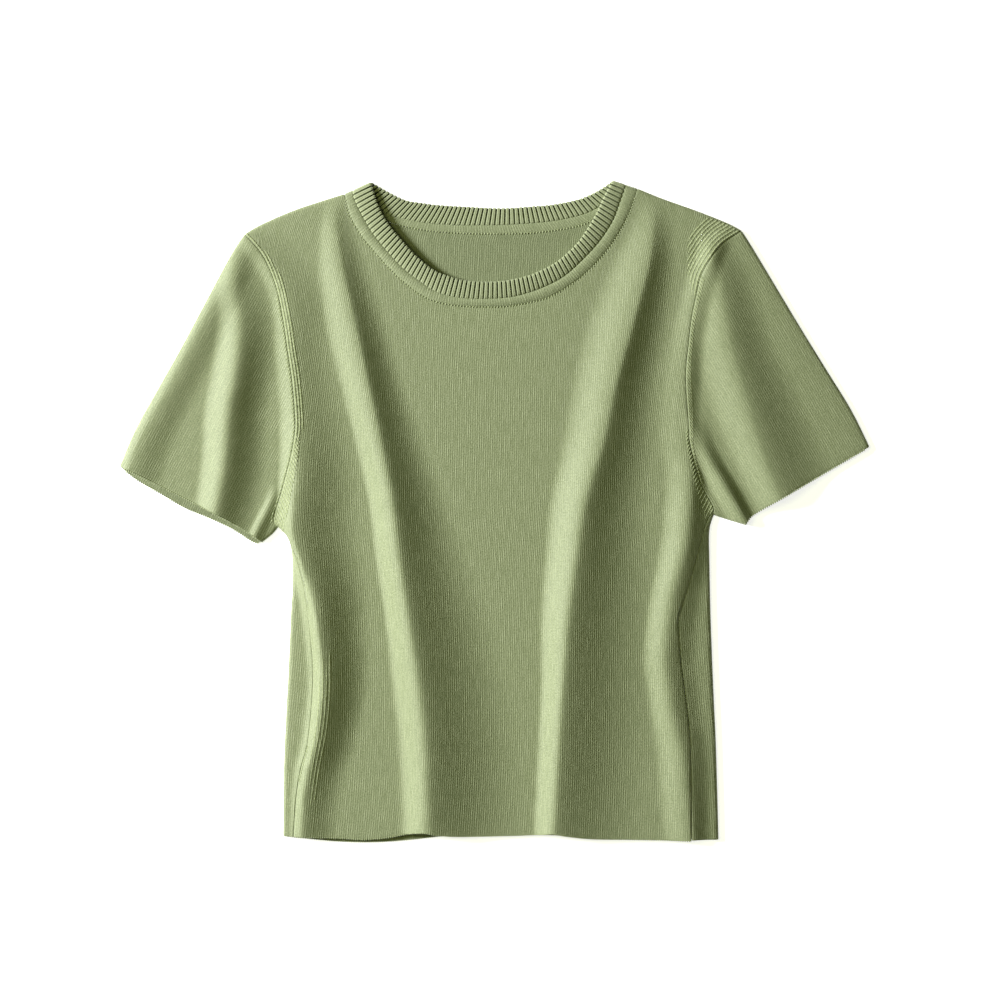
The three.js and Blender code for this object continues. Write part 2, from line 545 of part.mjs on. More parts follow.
// A ring of the collar between two pairs of lines: over the front, round the neck points, under the back
function collarRing(frontIn, frontOut, backIn, backOut, liftIn, liftOut, stations, ribbed) {
  const sheet = new Sheet();
  const sections = stations.map(({ part, front }) => {
    const inner = between(front ? frontIn : backIn, part);
    const outer = between(front ? frontOut : backOut, part);
    const gap = SEAM_GAP / 2 / inner.distanceTo(outer);
    const spots = [[outer.clone().lerp(inner, gap), liftOut], [inner.clone().lerp(outer, gap), liftIn]];
    return spots.map(([p, lift]) => {
      const { distance } = nearestEdge(p.x, p.y);
      const raised = front ? lift * (1 - Math.exp(-distance / LIFT_REACH)) : 0;
      return new THREE.Vector3(p.x, p.y, layerHeight(p.x, p.y, front) + raised);
    });
  });
  const count = sections.length;
  const rows = sections.map(([outer, inner], i) => {
    const before = sections[(i + count - 1) % count];
    const after = sections[(i + 1) % count];
    const along = after[0].clone().add(after[1]).sub(before[0]).sub(before[1]);
    const normal = along.cross(inner.clone().sub(outer)).normalize();
    const rib = ribbed && i % 2 === 1 ? RIB_HEIGHT : 0;
    const upper = normal.z >= 0;
    return [outer, inner].map((place) => sheet.add(
      { place, normal }, WALL / 2 + (upper ? rib : 0), WALL / 2 + (upper ? 0 : rib),
    ));
  });
  const columns = [rows.map((row) => row[0]), rows.map((row) => row[1])];
  sheet.join(columns, true);
  return sheet;
}

function ribStations() {
  const stations = [];
  const front = 2 * FRONT_RIBS;
  const back = 2 * BACK_RIBS;
  for (let i = 0; i <= front; i += 1) stations.push({ part: i / front, front: true });
  for (let i = 1; i < back; i += 1) stations.push({ part: 1 - i / back, front: false });
  return stations;
}

function bandStations() {
  const near = [0, 0.0006, 0.002, 0.005, 0.011];
  const steps = [];
  for (let i = 1; i < 36; i += 1) steps.push(lerp(0.011, 0.989, i / 36));
  const all = [...near, ...steps, ...[...near].reverse().map((t) => 1 - t)];
  const front = all.map((part) => ({ part, front: true }));
  const back = all.slice(1, -1).reverse().map((part) => ({ part, front: false }));
  return [...front, ...back];
}

const COLOURS = { knit: 0x969e76, sleeve: 0x929a72, rib: 0x8c946d, band: 0x9aa27a };

function piece(name, sheet, colour) {
  const material = new THREE.MeshStandardMaterial({ color: colour, roughness: 0.95, metalness: 0 });
  const mesh = new THREE.Mesh(sheet.geometry(), material);
  mesh.name = name;
  return mesh;
}

const top = new THREE.Group();
top.name = "crop_top";
top.add(piece("front_panel", frontPanel(), COLOURS.knit));
top.add(piece("back_panel", backPanel(), COLOURS.knit));
top.add(piece("sleeve_right", sleeve(
  line.armholeLeft, line.sleeveHemLeftFront, line.sleeveHemLeftBack,
  [...line.sleeveLowLeft].reverse(), line.sleeveTopLeft, -1,
), COLOURS.sleeve));
top.add(piece("sleeve_left", sleeve(
  line.armholeRight, line.sleeveHemRightFront, line.sleeveHemRightBack,
  line.sleeveLowRight, [...line.sleeveTopRight].reverse(), 1,
), COLOURS.sleeve));
top.add(piece("neck_rib", collarRing(
  line.freeFront, line.ribFront, line.freeBack, line.ribBack, COLLAR_LIFT, BAND_LIFT,
  ribStations(), true,
), COLOURS.rib));
top.add(piece("neck_band", collarRing(
  line.ribFront, line.bandFront, line.ribBack, line.bandBack, BAND_LIFT, 0,
  bandStations(), false,
), COLOURS.band));

export default top;
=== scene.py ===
import math

import bpy
import numpy as np
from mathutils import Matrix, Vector


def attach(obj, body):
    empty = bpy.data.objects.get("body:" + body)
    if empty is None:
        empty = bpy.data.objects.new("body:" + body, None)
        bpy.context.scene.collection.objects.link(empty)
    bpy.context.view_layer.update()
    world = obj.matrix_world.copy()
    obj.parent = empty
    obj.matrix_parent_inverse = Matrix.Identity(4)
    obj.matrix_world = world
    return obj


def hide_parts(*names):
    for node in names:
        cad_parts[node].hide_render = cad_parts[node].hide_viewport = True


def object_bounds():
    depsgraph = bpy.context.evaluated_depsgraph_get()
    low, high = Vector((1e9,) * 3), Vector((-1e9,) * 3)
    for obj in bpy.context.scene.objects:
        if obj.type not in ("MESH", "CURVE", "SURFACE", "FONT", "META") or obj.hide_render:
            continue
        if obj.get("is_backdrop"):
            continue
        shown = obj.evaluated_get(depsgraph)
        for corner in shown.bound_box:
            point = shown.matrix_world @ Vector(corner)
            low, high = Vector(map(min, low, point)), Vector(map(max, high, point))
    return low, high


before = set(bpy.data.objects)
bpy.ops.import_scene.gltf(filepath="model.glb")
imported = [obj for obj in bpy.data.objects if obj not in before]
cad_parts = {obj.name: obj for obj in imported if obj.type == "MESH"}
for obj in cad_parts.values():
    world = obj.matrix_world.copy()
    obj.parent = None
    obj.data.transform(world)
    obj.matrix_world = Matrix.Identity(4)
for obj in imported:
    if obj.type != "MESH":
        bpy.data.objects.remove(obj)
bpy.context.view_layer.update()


# Camera: straight above the garment, as the photograph was taken, far enough off for an even scale.
MM = 0.001
VIEW_CENTRE = (3.75, 9.375)
VIEW_WIDTH = 750
LENS = 90
SENSOR = 36
camera_data = bpy.data.cameras.new("camera")
camera_data.lens = LENS
camera_data.sensor_width = SENSOR
camera_data.clip_start = 0.01
camera_data.clip_end = 20
camera = bpy.data.objects.new("camera", camera_data)
camera.location = (VIEW_CENTRE[0] * MM, VIEW_CENTRE[1] * MM, VIEW_WIDTH * MM * LENS / SENSOR)
bpy.context.scene.collection.objects.link(camera)
bpy.context.scene.camera = camera


# Table top and light: white acrylic that glows softly from below, so that shadows on it stay pale, one
# large soft lamp low at the left that rakes over the folds, and a weak warm one high up on that side.
def linear(hex_colour, alpha=1.0):
    """The linear colour of an sRGB hex value."""
    parts = [int(hex_colour[k:k + 2], 16) / 255 for k in (0, 2, 4)]
    return tuple(c / 12.92 if c <= 0.04045 else ((c + 0.055) / 1.055) ** 2.4 for c in parts) + (alpha,)


def add(tree, kind, inputs=None, **settings):
    """Adds a node with its settings; an input is a value or the socket that feeds it."""
    made = tree.nodes.new(kind)
    for name, value in settings.items():
        setattr(made, name, value)
    for name, value in (inputs or {}).items():
        if isinstance(value, bpy.types.NodeSocket):
            tree.links.new(value, made.inputs[name])
        else:
            made.inputs[name].default_value = value
    return made


def maths(tree, operation, *values, **settings):
    """Adds a sum node over the given values or sockets."""
    return add(tree, "ShaderNodeMath", dict(enumerate(values)), operation=operation, **settings)


def new_material(name):
    """A material with its node tree and its shader."""
    material = bpy.data.materials.new(name)
    material.use_nodes = True
    return material, material.node_tree, material.node_tree.nodes["Principled BSDF"]


def finish(shader, **values):
    """Sets a shader's inputs, where a name's underscores stand for spaces."""
    for name, value in values.items():
        shader.inputs[name.replace("_", " ")].default_value = value


LAMP_DISTANCE = 3.6
LAMP_TURN = math.radians(16)
# Elevation in degrees, width, power and colour of each lamp
LAMPS = {
    "low_soft_lamp": (24, 1.0, 302, (0.985, 0.985, 1.06)),
    "high_warm_lamp": (60, 1.8, 34, (0.96, 1.0, 0.45)),
}
TABLE_HALF = 4
acrylic, _, acrylic_shader = new_material("glowing_white_acrylic")
finish(acrylic_shader, Base_Color=linear("fbfbfa"), Roughness=0.9, Specular_IOR_Level=0.1,
       Emission_Color=linear("fbfbfa"), Emission_Strength=0.8)
table_mesh = bpy.data.meshes.new("table_top")
table_corners = [(a * TABLE_HALF, b * TABLE_HALF, 0) for a, b in ((-1, -1), (1, -1), (1, 1), (-1, 1))]
table_mesh.from_pydata(table_corners, [], [(0, 1, 2, 3)])
table_mesh.materials.append(acrylic)
table_top = bpy.data.objects.new("table_top", table_mesh)
bpy.context.scene.collection.objects.link(table_top)
table_top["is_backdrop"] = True

for name, (elevation, width, power, colour) in LAMPS.items():
    lamp_data = bpy.data.lights.new(name, "AREA")
    lamp_data.shape = "DISK"
    lamp_data.size = width
    lamp_data.energy = power
    lamp_data.color = colour
    lamp = bpy.data.objects.new(name, lamp_data)
    rise = math.radians(elevation)
    toward = Vector((-math.cos(rise) * math.cos(LAMP_TURN), math.cos(rise) * math.sin(LAMP_TURN),
                     math.sin(rise)))
    lamp.location = toward * LAMP_DISTANCE
    lamp.rotation_euler = toward.to_track_quat("Z", "Y").to_euler()
    bpy.context.scene.collection.objects.link(lamp)

room = bpy.data.worlds.new("pale_room")
room.use_nodes = True
room.node_tree.nodes["Background"].inputs["Color"].default_value = (0.94, 1.0, 0.5, 1)
room.node_tree.nodes["Background"].inputs["Strength"].default_value = 0.045
bpy.context.scene.world = room
bpy.context.scene.view_settings.view_transform = "Standard"


# Front panel: one knitted piece of fine-gauge wool, from the hem up to the collar. It lies in soft
# folds, runs over each shoulder to the seam behind it, and is sewn to the sleeves and the back.
WALL = 1.4
SEAM_GAP = 0.08
EDGE_ROUND = 1.6
EDGE_LOFT = 2.4
VALLEY_LOFT = 0.8
LOFT_REACH = 5
SHOULDER_TURN = 15
UNDERARM_LEFT = -10
UNDERARM_RIGHT = -1
FOLDED_EDGES = {
    "side_right": [(167, -252), (165, -178), (163, -133), (161, -81), (160, -36), (160, -13), (163.5, -1)],
    "sleeve_low_right": [(163.5, -1), (175, -5), (188, -9)],
    "sleeve_top_right": [(280, 49), (266, 77), (247.5, 107), (229, 137), (211, 167), (193, 197),
                         (184.5, 210.5)],
    "shoulder_right": [(184.5, 210.5), (173, 216.5), (149, 226), (125, 234.5), (106.5, 242)],
    "collar_right": [(106.5, 242), (97.5, 245), (88.5, 248)],
    "collar_left": [(-93, 247), (-106, 241), (-112.5, 238)],
    "shoulder_left": [(-112.5, 238), (-127, 233.5), (-151, 225.5), (-175, 215), (-187, 208)],
    "sleeve_top_left": [(-187, 208), (-193.5, 198.5), (-203, 182), (-219, 152), (-235, 122), (-252, 92),
                        (-268.5, 62), (-280.5, 34)],
    "sleeve_low_left": [(-175, -22), (-167, -15.5), (-162.5, -10)],
    "side_left": [(-162.5, -10), (-154, -19), (-151, -33), (-151, -58), (-152, -73), (-154, -118),
                  (-156, -156), (-157.5, -193), (-158, -252)],
}
SEAM_LINES = {
    "armhole_left": [(-162.5, -10), (-166, -5.5), (-164.5, 2), (-160.5, 12.5), (-157, 25), (-153, 39),
                     (-150, 54), (-149, 69), (-151.5, 99), (-155, 122), (-158, 143), (-163, 167),
                     (-170, 185.5), (-177, 197), (-187, 208)],
    "armhole_right": [(163.5, -1), (163, 5.5), (154.5, 20), (149, 37), (145.5, 54), (145, 63), (143, 92),
                      (143, 109), (145, 128), (147, 145), (151, 164), (154, 176.5), (160.5, 188.5),
                      (170, 201), (184.5, 210.5)],
    "side_seam_left": [(-151.5, -252), (-149, -216), (-145.5, -193), (-140, -171), (-136.5, -133),
                       (-137, -103), (-142, -58), (-147, -36), (-150.5, -27), (-152.8, -20), (-157, -14),
                       (-161.5, -10)],
    "side_seam_right": [(147, -252), (146, -176), (142.5, -138), (139, -111), (137, -83), (139.5, -71),
                        (145.5, -51), (149, -38), (154.5, -19), (158.5, -7), (162.3, -1)],
    "front_hem": [(-170, -242), (-151.5, -242.5), (-116, -244), (-98, -245), (-80, -243.5), (-62, -240),
                  (-52, -239), (-43, -240.5), (-26, -242), (10, -242), (34, -241), (43, -239.5), (50, -241),
                  (73, -244), (109, -245), (147, -245.5), (170, -245.5)],
    "band_front": [(-112.5, 238), (-109, 223), (-100, 207), (-90, 195), (-76, 179.5), (-61.5, 167),
                   (-49, 159.5), (-34, 155.5), (-16, 154), (6, 154), (23, 156.5), (40.5, 161), (58, 171),
                   (72, 182.5), (85, 197), (95, 212.5), (102, 227), (106.5, 242)],
    "band_back": [(-112.5, 238), (-97.5, 226), (-80, 218), (-66, 214), (-44, 210.5), (-17, 209), (20, 209),
                  (42, 211), (64, 215), (82.5, 224), (106.5, 242)],
}
# Each fold's crest from shoulder to hem: y, x, height, and the widths of its left and right flanks. The
# two numbers before the rows are below 1 where those flanks fall off early, beside the crest, and above 1
# where they stay up longer.
FOLDS = [
    ("main fold, left", 1.1, 0.66, [
        (236, -116, 0, 12, 13), (224, -119, 1, 12, 13), (189, -115, 4, 19, 19), (144, -105, 6.5, 24, 24),
        (99, -95, 8, 23, 27), (54, -85, 9.3, 21, 33), (9, -76, 11.2, 20, 41), (-36, -70, 12.6, 20, 51),
        (-81, -63, 13.6, 20, 61), (-126, -56, 14, 22, 66), (-171, -51, 13.8, 22, 71),
        (-216, -49.5, 12.5, 21, 72), (-246, -49, 10.6, 21, 70)]),
    ("main fold, right", 1, 0.66, [
        (236, 116, 0, 15, 15), (224, 119, 1, 15, 15), (189, 115.5, 5, 29, 21), (144, 103.5, 7.3, 36, 28),
        (99, 91, 8.5, 34, 32), (54, 81, 9.6, 32, 40), (9, 68, 11.2, 28, 49), (-36, 61, 12.2, 25, 58),
        (-81, 55, 12.8, 22, 66), (-126, 51.5, 12.6, 18, 70), (-171, 48.5, 11.8, 17, 70),
        (-246, 44.5, 9.6, 17, 66)]),
    ("roll beside the left armhole and side seam", 0.9, 0.78, [
        (214, -186, 0, 15, 30), (208, -184, 1, 15, 30), (167, -157.5, 3.2, 15, 34),
        (122, -151.5, 3.7, 15, 30), (77, -148, 5, 15, 38), (32, -147, 8, 16, 45), (-13, -150.5, 10.5, 14, 50),
        (-36, -144, 11, 13, 46), (-58, -136.5, 10.8, 13, 42), (-81, -132, 10.4, 13, 38),
        (-126, -128, 9.8, 13, 35), (-171, -133, 8, 13, 31), (-193, -139, 6.6, 12, 30),
        (-216, -142.5, 5.2, 11, 28), (-246, -144, 4, 11, 26)]),
    ("ridge beside the right armhole and side seam", 1, 0.9, [
        (215, 172, 0, 12, 12), (208, 170, 1, 12, 12), (189, 160, 2.6, 14, 12), (144, 149, 2.6, 16, 12),
        (99, 144, 2.2, 20, 12), (54, 143, 2.6, 22, 12), (27, 145.5, 4, 20, 14), (-16, 143, 6, 20, 19),
        (-37, 139, 6.2, 19, 22), (-66, 132, 5.8, 18, 24), (-109, 127.5, 5.6, 18, 25),
        (-131, 130, 5.6, 18, 25), (-151, 133, 5.6, 18, 24), (-176, 139, 5.6, 20, 22),
        (-207, 142.5, 5.4, 22, 19), (-246, 146, 4.6, 22, 15)]),
    ("fold of the left sleeve", 1, 0.75, [
        (202, -194, 0, 12, 15), (167, -193.5, 3.6, 16, 26), (144, -190.5, 5.5, 18, 29),
        (122, -191, 7, 20, 29), (99, -194, 8, 21, 30), (77, -198, 8.4, 21, 30), (32, -202, 8.4, 20, 32),
        (-21, -212, 6.6, 18, 30)]),
    ("rounded upper edge of the left sleeve", 1, 1, [
        (208, -187, 0, 9, 18), (197, -189, 1, 9, 18), (144, -217.5, 2.6, 10, 22), (99, -241, 3.2, 11, 25),
        (54, -265, 3.6, 12, 28), (9, -281, 3.6, 12, 30)]),
    ("fold of the right sleeve", 1, 0.8, [
        (212, 158, 0, 12, 18), (204, 160, 1, 12, 18), (182, 166, 3.5, 16, 26), (144, 173, 5.5, 26, 32),
        (122, 177, 6.4, 29, 36), (77, 190, 7.8, 31, 45), (32, 205, 8, 26, 50), (-6, 221, 7.2, 23, 50)]),
    ("small roll at the left underarm", 1, 0.8, [
        (22, -163, 0, 6, 6), (8, -167.5, 1.5, 6, 8), (-6, -174, 2, 6.5, 9), (-22, -182, 2.2, 6.5, 9)]),
    ("small roll at the right underarm", 1, 1, [
        (77, 146, 0, 9, 13), (47, 156, 3, 11, 12), (17, 173, 4.5, 13, 11), (-13, 190, 4, 13, 9)]),
]
# Wales of the front that run along the folds: x of each at the heights of WALE_ROWS, and the share of
# the panel's width that it stands at
WALE_ROWS = [-252, -171, -103, -36, 9, 54, 99, 144, 189, 215, 242]
FRONT_WALES = [
    (0.055, [-143, -133, -128, -143, -150, -142, -143, -149, -162, -172, -175]),
    (0.145, [-112, -104, -86, -90, -102, -112, -122, -132, -139, -141, -142]),
    (0.265, [-49, -51, -59.5, -70, -76, -85.5, -95.5, -105, -113, -114, -112.5]),
    (0.42, [8, 10, 2, -22, -38, -54, -68, -79, -88, -92, -94]),
    (0.55, [15, 20, 24, 34, 38, 48, 57, 67, 79, 84, 88]),
    (0.68, [46, 49, 53, 61, 68, 81, 91, 103.5, 114, 111.5, 106.5]),
    (0.83, [112, 116, 110, 119, 119, 124, 125, 130, 140, 143, 145]),
    (0.93, [137, 137, 127.5, 139.5, 147, 138, 134.5, 138, 150, 163, 168]),
]


def drawn(points, step=1.5):
    """Evenly spaced points of the smooth line through the given ones."""
    given = np.array(points, float)
    ends = np.vstack([given[:1], given, given[-1:]])
    u = np.linspace(0, 1, 24, endpoint=False)[:, None]
    runs = []
    for a, b, c, d in zip(ends, ends[1:], ends[2:], ends[3:]):
        start, end = (c - a) / 2, (d - b) / 2
        runs.append((2 * b - 2 * c + start + end) * u ** 3 + (3 * c - 3 * b - 2 * start - end) * u ** 2
                    + start * u + b)
    fine = np.vstack([*runs, given[-1:]])
    along = np.r_[0, np.cumsum(np.hypot(*np.diff(fine, axis=0).T))]
    even = np.linspace(0, along[-1], max(9, math.ceil(along[-1] / step) + 1))
    return np.column_stack([np.interp(even, along, fine[:, k]) for k in (0, 1)])


def across_at(line, y):
    """x of a line at the heights y."""
    row = line if line[-1, 1] > line[0, 1] else line[::-1]
    return np.interp(y, row[:, 1], row[:, 0])


def height_at(line, x):
    """y of a line at the places x."""
    row = line if line[-1, 0] > line[0, 0] else line[::-1]
    return np.interp(x, row[:, 0], row[:, 1])


def smooth(places, values, place):
    """Smooth value of a table's column at any place of its first column."""
    order = np.argsort(places)
    at, value = np.array(places, float)[order], np.array(values, float)[order]
    last = len(at) - 1
    before, after = np.r_[0, 0:last], np.r_[1:last + 1, last]
    slope = (value[after] - value[before]) / (at[after] - at[before])
    i = np.clip(np.searchsorted(at, place) - 1, 0, last - 1)
    wide = at[i + 1] - at[i]
    u = np.clip((place - at[i]) / wide, 0, 1)
    return ((2 * u ** 3 - 3 * u ** 2 + 1) * value[i] + (u ** 3 - 2 * u ** 2 + u) * wide * slope[i]
            + (3 * u ** 2 - 2 * u ** 3) * value[i + 1] + (u ** 3 - u ** 2) * wide * slope[i + 1])


folded_edges = [drawn(points, 4) for points in FOLDED_EDGES.values()]
seam = {name: drawn(points) for name, points in {**SEAM_LINES, **FOLDED_EDGES}.items()}


def from_fold(x, y):
    """Distance from the nearest folded edge of the outline."""
    best = np.full(np.shape(x), np.inf)
    for edge in folded_edges:
        for a, b in zip(edge[:-1], edge[1:]):
            run = b - a
            t = np.clip(((x - a[0]) * run[0] + (y - a[1]) * run[1]) / (run @ run), 0, 1)
            best = np.minimum(best, np.hypot(x - a[0] - t * run[0], y - a[1] - t * run[1]))
    return best


def fold_height(x, y):
    """How far the folds lift the upper layer."""
    total = np.zeros(np.shape(x))
    for _, early_left, early_right, rows in FOLDS:
        table = np.array(rows, float)
        crest, height, left, right = (smooth(table[:, 0], table[:, k], y) for k in (1, 2, 3, 4))
        away = x - crest
        part = np.where(away < 0, np.clip(-away / left, 0, 1) ** early_left,
                        np.clip(away / right, 0, 1) ** early_right)
        total += np.maximum(height, 0) * 0.5 * (1 + np.cos(np.pi * part))
    return total


def laid(xy, upper):
    """Points of the upper or lower layer of the garment over the places xy."""
    x, y = xy[..., 0], xy[..., 1]
    distance = from_fold(x, y)
    loft = EDGE_LOFT + VALLEY_LOFT * (1 - np.exp(-distance / LOFT_REACH)) + fold_height(x, y)
    turn = np.sqrt(1 - (1 - np.clip(distance / EDGE_ROUND, 0, 1)) ** 2)
    z = WALL / 2 + 0.05 + loft / 2 * (1 + turn if upper else 1 - turn)
    return np.stack([x, y, z], axis=-1)


def panels_of(numbers, closed=False):
    """Quads between the rows of a grid of point numbers, where -1 is no point."""
    if closed:
        numbers = np.hstack([numbers, numbers[:, :1]])
    quads = np.stack([numbers[:-1, :-1], numbers[:-1, 1:], numbers[1:, 1:], numbers[1:, :-1]], axis=-1)
    quads = quads.reshape(-1, 4)
    return quads[(quads >= 0).all(axis=1)]


def arc(points, axis, middle):
    """Length along the cloth from the point numbered middle of each row or column."""
    steps = np.linalg.norm(np.diff(points, axis=axis), axis=-1)
    run = np.cumsum(steps, axis=axis)
    run = np.concatenate([np.zeros_like(np.take(run, [0], axis=axis)), run], axis=axis)
    return run - np.take(run, [middle], axis=axis)


def knitted_piece(name, points, quads, wales, lip, material, wall=WALL, inside=None, extra=None):
    """A closed sheet of cloth: its middle surface in millimetres, given a wall that thins at its lips.
    Its inner face has a material of its own where one is given."""
    a, b, c, d = (points[quads[:, k]] for k in range(4))
    facing = np.cross(c - a, d - b)
    normal = np.zeros_like(points)
    for k in range(4):
        np.add.at(normal, quads[:, k], facing)
    normal /= np.maximum(np.linalg.norm(normal, axis=1, keepdims=True), 1e-9)
    half = (wall / 2 * lip)[:, None] * normal
    count = len(points)
    sides = np.concatenate([quads[:, [k, (k + 1) % 4]] for k in range(4)])
    keys = np.sort(sides, axis=1)
    _, first, uses = np.unique(keys, axis=0, return_index=True, return_counts=True)
    open_sides = sides[first[uses == 1]]
    rim = np.column_stack([open_sides[:, 1], open_sides[:, 0], open_sides[:, 0] + count,
                           open_sides[:, 1] + count])
    faces = np.vstack([quads, quads[:, ::-1] + count, rim])
    mesh = bpy.data.meshes.new(name)
    mesh.from_pydata((np.vstack([points + half, points - half]) * MM).tolist(), [], faces.tolist())
    uv = mesh.uv_layers.new(name="wales")
    corner = np.empty(len(mesh.loops), dtype=np.int32)
    mesh.loops.foreach_get("vertex_index", corner)
    uv.data.foreach_set("uv", np.vstack([wales, wales])[corner].astype(np.float32).ravel())
    for label, value in (extra or {}).items():
        attribute = mesh.attributes.new(label, "FLOAT", "POINT")
        attribute.data.foreach_set("value", value.astype(np.float32))
    mesh.polygons.foreach_set("use_smooth", np.ones(len(mesh.polygons), dtype=bool))
    mesh.materials.append(material)
    if inside:
        mesh.materials.append(inside)
        is_inner = (np.arange(len(faces)) // len(quads) == 1).astype(np.int32)
        mesh.polygons.foreach_set("material_index", is_inner)
    mesh.update()
    made = bpy.data.objects.new(name, mesh)
    bpy.context.scene.collection.objects.link(made)
    return made


def wool_knit(name, base, shade, relief, wale_stripe_and_shade=0.09, wale=1.65, course=1.25):
    """Fine-gauge plain knit in combed wool: soft matt wales with a fuzzy sheen at grazing light. Real
    wales stand 1.65 mm apart, so a render of this size shows them only as short vertical streaks."""
    material, tree, shader = new_material(name)
    place = add(tree, "ShaderNodeUVMap", uv_map="wales").outputs["UV"]
    split = add(tree, "ShaderNodeSeparateXYZ", {"Vector": place})
    turn = 2 * math.pi
    turns = maths(tree, "MULTIPLY", split.outputs["X"], turn / wale)
    wave = maths(tree, "COSINE", turns.outputs[0])
    loops = maths(tree, "MULTIPLY", split.outputs["Y"], turn / course)
    loop_wave = maths(tree, "SINE", loops.outputs[0])
    streak_place = add(tree, "ShaderNodeMapping", {"Vector": place, "Scale": (1.1 / wale, 1 / 12, 1)})
    streak = add(tree, "ShaderNodeTexNoise", {"Vector": streak_place.outputs[0], "Scale": 1.0, "Detail": 2.0,
                                              "Roughness": 0.6}).outputs["Fac"]
    fleck_place = add(tree, "ShaderNodeMapping", {"Vector": place, "Scale": (1.9 / wale, 1.05 / course, 1)})
    fleck = add(tree, "ShaderNodeTexNoise", {"Vector": fleck_place.outputs[0], "Scale": 1.0, "Detail": 1.0,
                                             "Roughness": 0.5}).outputs["Fac"]
    patchy = add(tree, "ShaderNodeMapRange", {"Value": streak, "From Min": 0.35, "From Max": 0.65,
                                              "To Min": 0.1, "To Max": 1.0})
    line = maths(tree, "MULTIPLY", wave.outputs[0], patchy.outputs[0])
    tone = maths(tree, "MULTIPLY_ADD", streak, 0.4, 0.0)
    tone = maths(tree, "MULTIPLY_ADD", fleck, 0.6, tone.outputs[0])
    # The darker stripe between two wales is partly the knit's own look and partly painted shade in the hollow
    # between them.
    tone = maths(tree, "MULTIPLY_ADD", line.outputs[0], wale_stripe_and_shade, tone.outputs[0])
    tone = add(tree, "ShaderNodeMapRange", {"Value": tone.outputs[0], "From Min": 0.26, "From Max": 0.74})
    colour = add(tree, "ShaderNodeMix", {"Factor": tone.outputs[0], 6: linear(shade), 7: linear(base)},
                 data_type="RGBA")
    tree.links.new(colour.outputs[2], shader.inputs["Base Color"])
    raised = maths(tree, "MULTIPLY_ADD", line.outputs[0], 0.45, 0.0)
    raised = maths(tree, "MULTIPLY_ADD", loop_wave.outputs[0], 0.1, raised.outputs[0])
    raised = maths(tree, "MULTIPLY_ADD", streak, 0.7, raised.outputs[0])
    raised = maths(tree, "MULTIPLY_ADD", fleck, 1.3, raised.outputs[0])
    bump = add(tree, "ShaderNodeBump", {"Height": raised.outputs[0], "Strength": 1.0,
                                        "Distance": relief * MM})
    tree.links.new(bump.outputs[0], shader.inputs["Normal"])
    finish(shader, Roughness=0.64, Specular_IOR_Level=0.42, Sheen_Weight=0.35, Sheen_Roughness=0.4,
           Sheen_Tint=linear("fbfbf6"))
    return material


front_knit = wool_knit("fine_wool_knit_front", "9ba37d", "677149", 0.16)
# The inner faces get a darker knit. This is partly the purl side's own duller tone and partly painted shade
# for where the inside shows under the hems and within the neck.
purl_side_with_painted_shade = wool_knit("fine_wool_knit_inside_with_painted_shade", "8f9772", "5d6743", 0.16, 0.1)
LIP_STEPS = np.array([0, 0.06, 0.2, 0.45, 0.8, 1.3, 2, 3])
LIP_SHARES = np.array([0.4, 0.55, 0.7, 0.83, 0.92, 0.97, 1, 1])
UNDERARM_GAP = 0.15
SIDE_GAP = 0.25


def gap_at(y, underarm):
    """Half of the gap at a side seam or armhole, a little more where the sleeve comes in and low down."""
    side = SIDE_GAP * np.clip((-85 - y) / 20, 0, 1)
    return SEAM_GAP / 2 + UNDERARM_GAP * np.exp(-np.abs(y - underarm) / 3) + side


def front_left(y):
    side = across_at(seam["side_seam_left"], y)
    armhole = across_at(seam["armhole_left"], y)
    return np.where(y < UNDERARM_LEFT, side, armhole) + gap_at(y, UNDERARM_LEFT)


def front_right(y):
    side = across_at(seam["side_seam_right"], y)
    armhole = across_at(seam["armhole_right"], y)
    return np.where(y < UNDERARM_RIGHT, side, armhole) - gap_at(y, UNDERARM_RIGHT)


def front_wale(share, offset, y):
    """x of the wale at a share of the front's width, or at an offset from one of its side edges."""
    left, right = front_left(y), front_right(y)
    if offset:
        return left + offset if offset > 0 else right + offset
    shares = [0, *[s for s, _ in FRONT_WALES], 1]
    keys = [left, *[smooth(WALE_ROWS, row, y) for _, row in FRONT_WALES], right]
    k = min(int(np.searchsorted(shares, share, side="right")) - 1, len(keys) - 2)
    part = (share - shares[k]) / (shares[k + 1] - shares[k])
    return keys[k] * (1 - part) + keys[k + 1] * part


def front_top(x):
    """Where the front ends at the top: the shoulder fold outside the collar, the band inside it."""
    neck = height_at(seam["band_front"], x) - SEAM_GAP / 2
    left, right = height_at(seam["shoulder_left"], x), height_at(seam["shoulder_right"], x)
    band = SEAM_LINES["band_front"]
    return np.where(x <= band[0][0], left, np.where(x >= band[-1][0], right, neck))


def column_end(column, top, start=140):
    """Height at which a column of the panel, climbed from a start, first reaches the line that ends it."""
    y = np.arange(start, 260, 0.02)
    over = y >= top(column(y))
    return y[np.argmax(over)]


front_columns = [(0.0, d) for d in LIP_STEPS[1:6]]
front_columns = [(0.0, 0.0), *front_columns, *[(s, 0.0) for s in np.linspace(0.012, 0.988, 176)],
                 *[(1.0, -d) for d in LIP_STEPS[5:0:-1]], (1.0, 0.0)]
LOWER_COUNT = 118
UPPER_COUNT = 106


def panel_rows(column, hem_line, top, underarm):
    """Heights of one column's points from the hem to its upper end, closer together at both."""
    hem = -242.0
    for _ in range(4):
        hem = float(height_at(hem_line, column(np.array(hem))))
    end = column_end(column, top)
    lower = np.linspace(hem + LIP_STEPS[-1], underarm, LOWER_COUNT, endpoint=False)
    upper = np.linspace(underarm, end - LIP_STEPS[-1], UPPER_COUNT, endpoint=False)
    return np.r_[hem + LIP_STEPS[:-1], lower, upper, end - LIP_STEPS[::-1]]


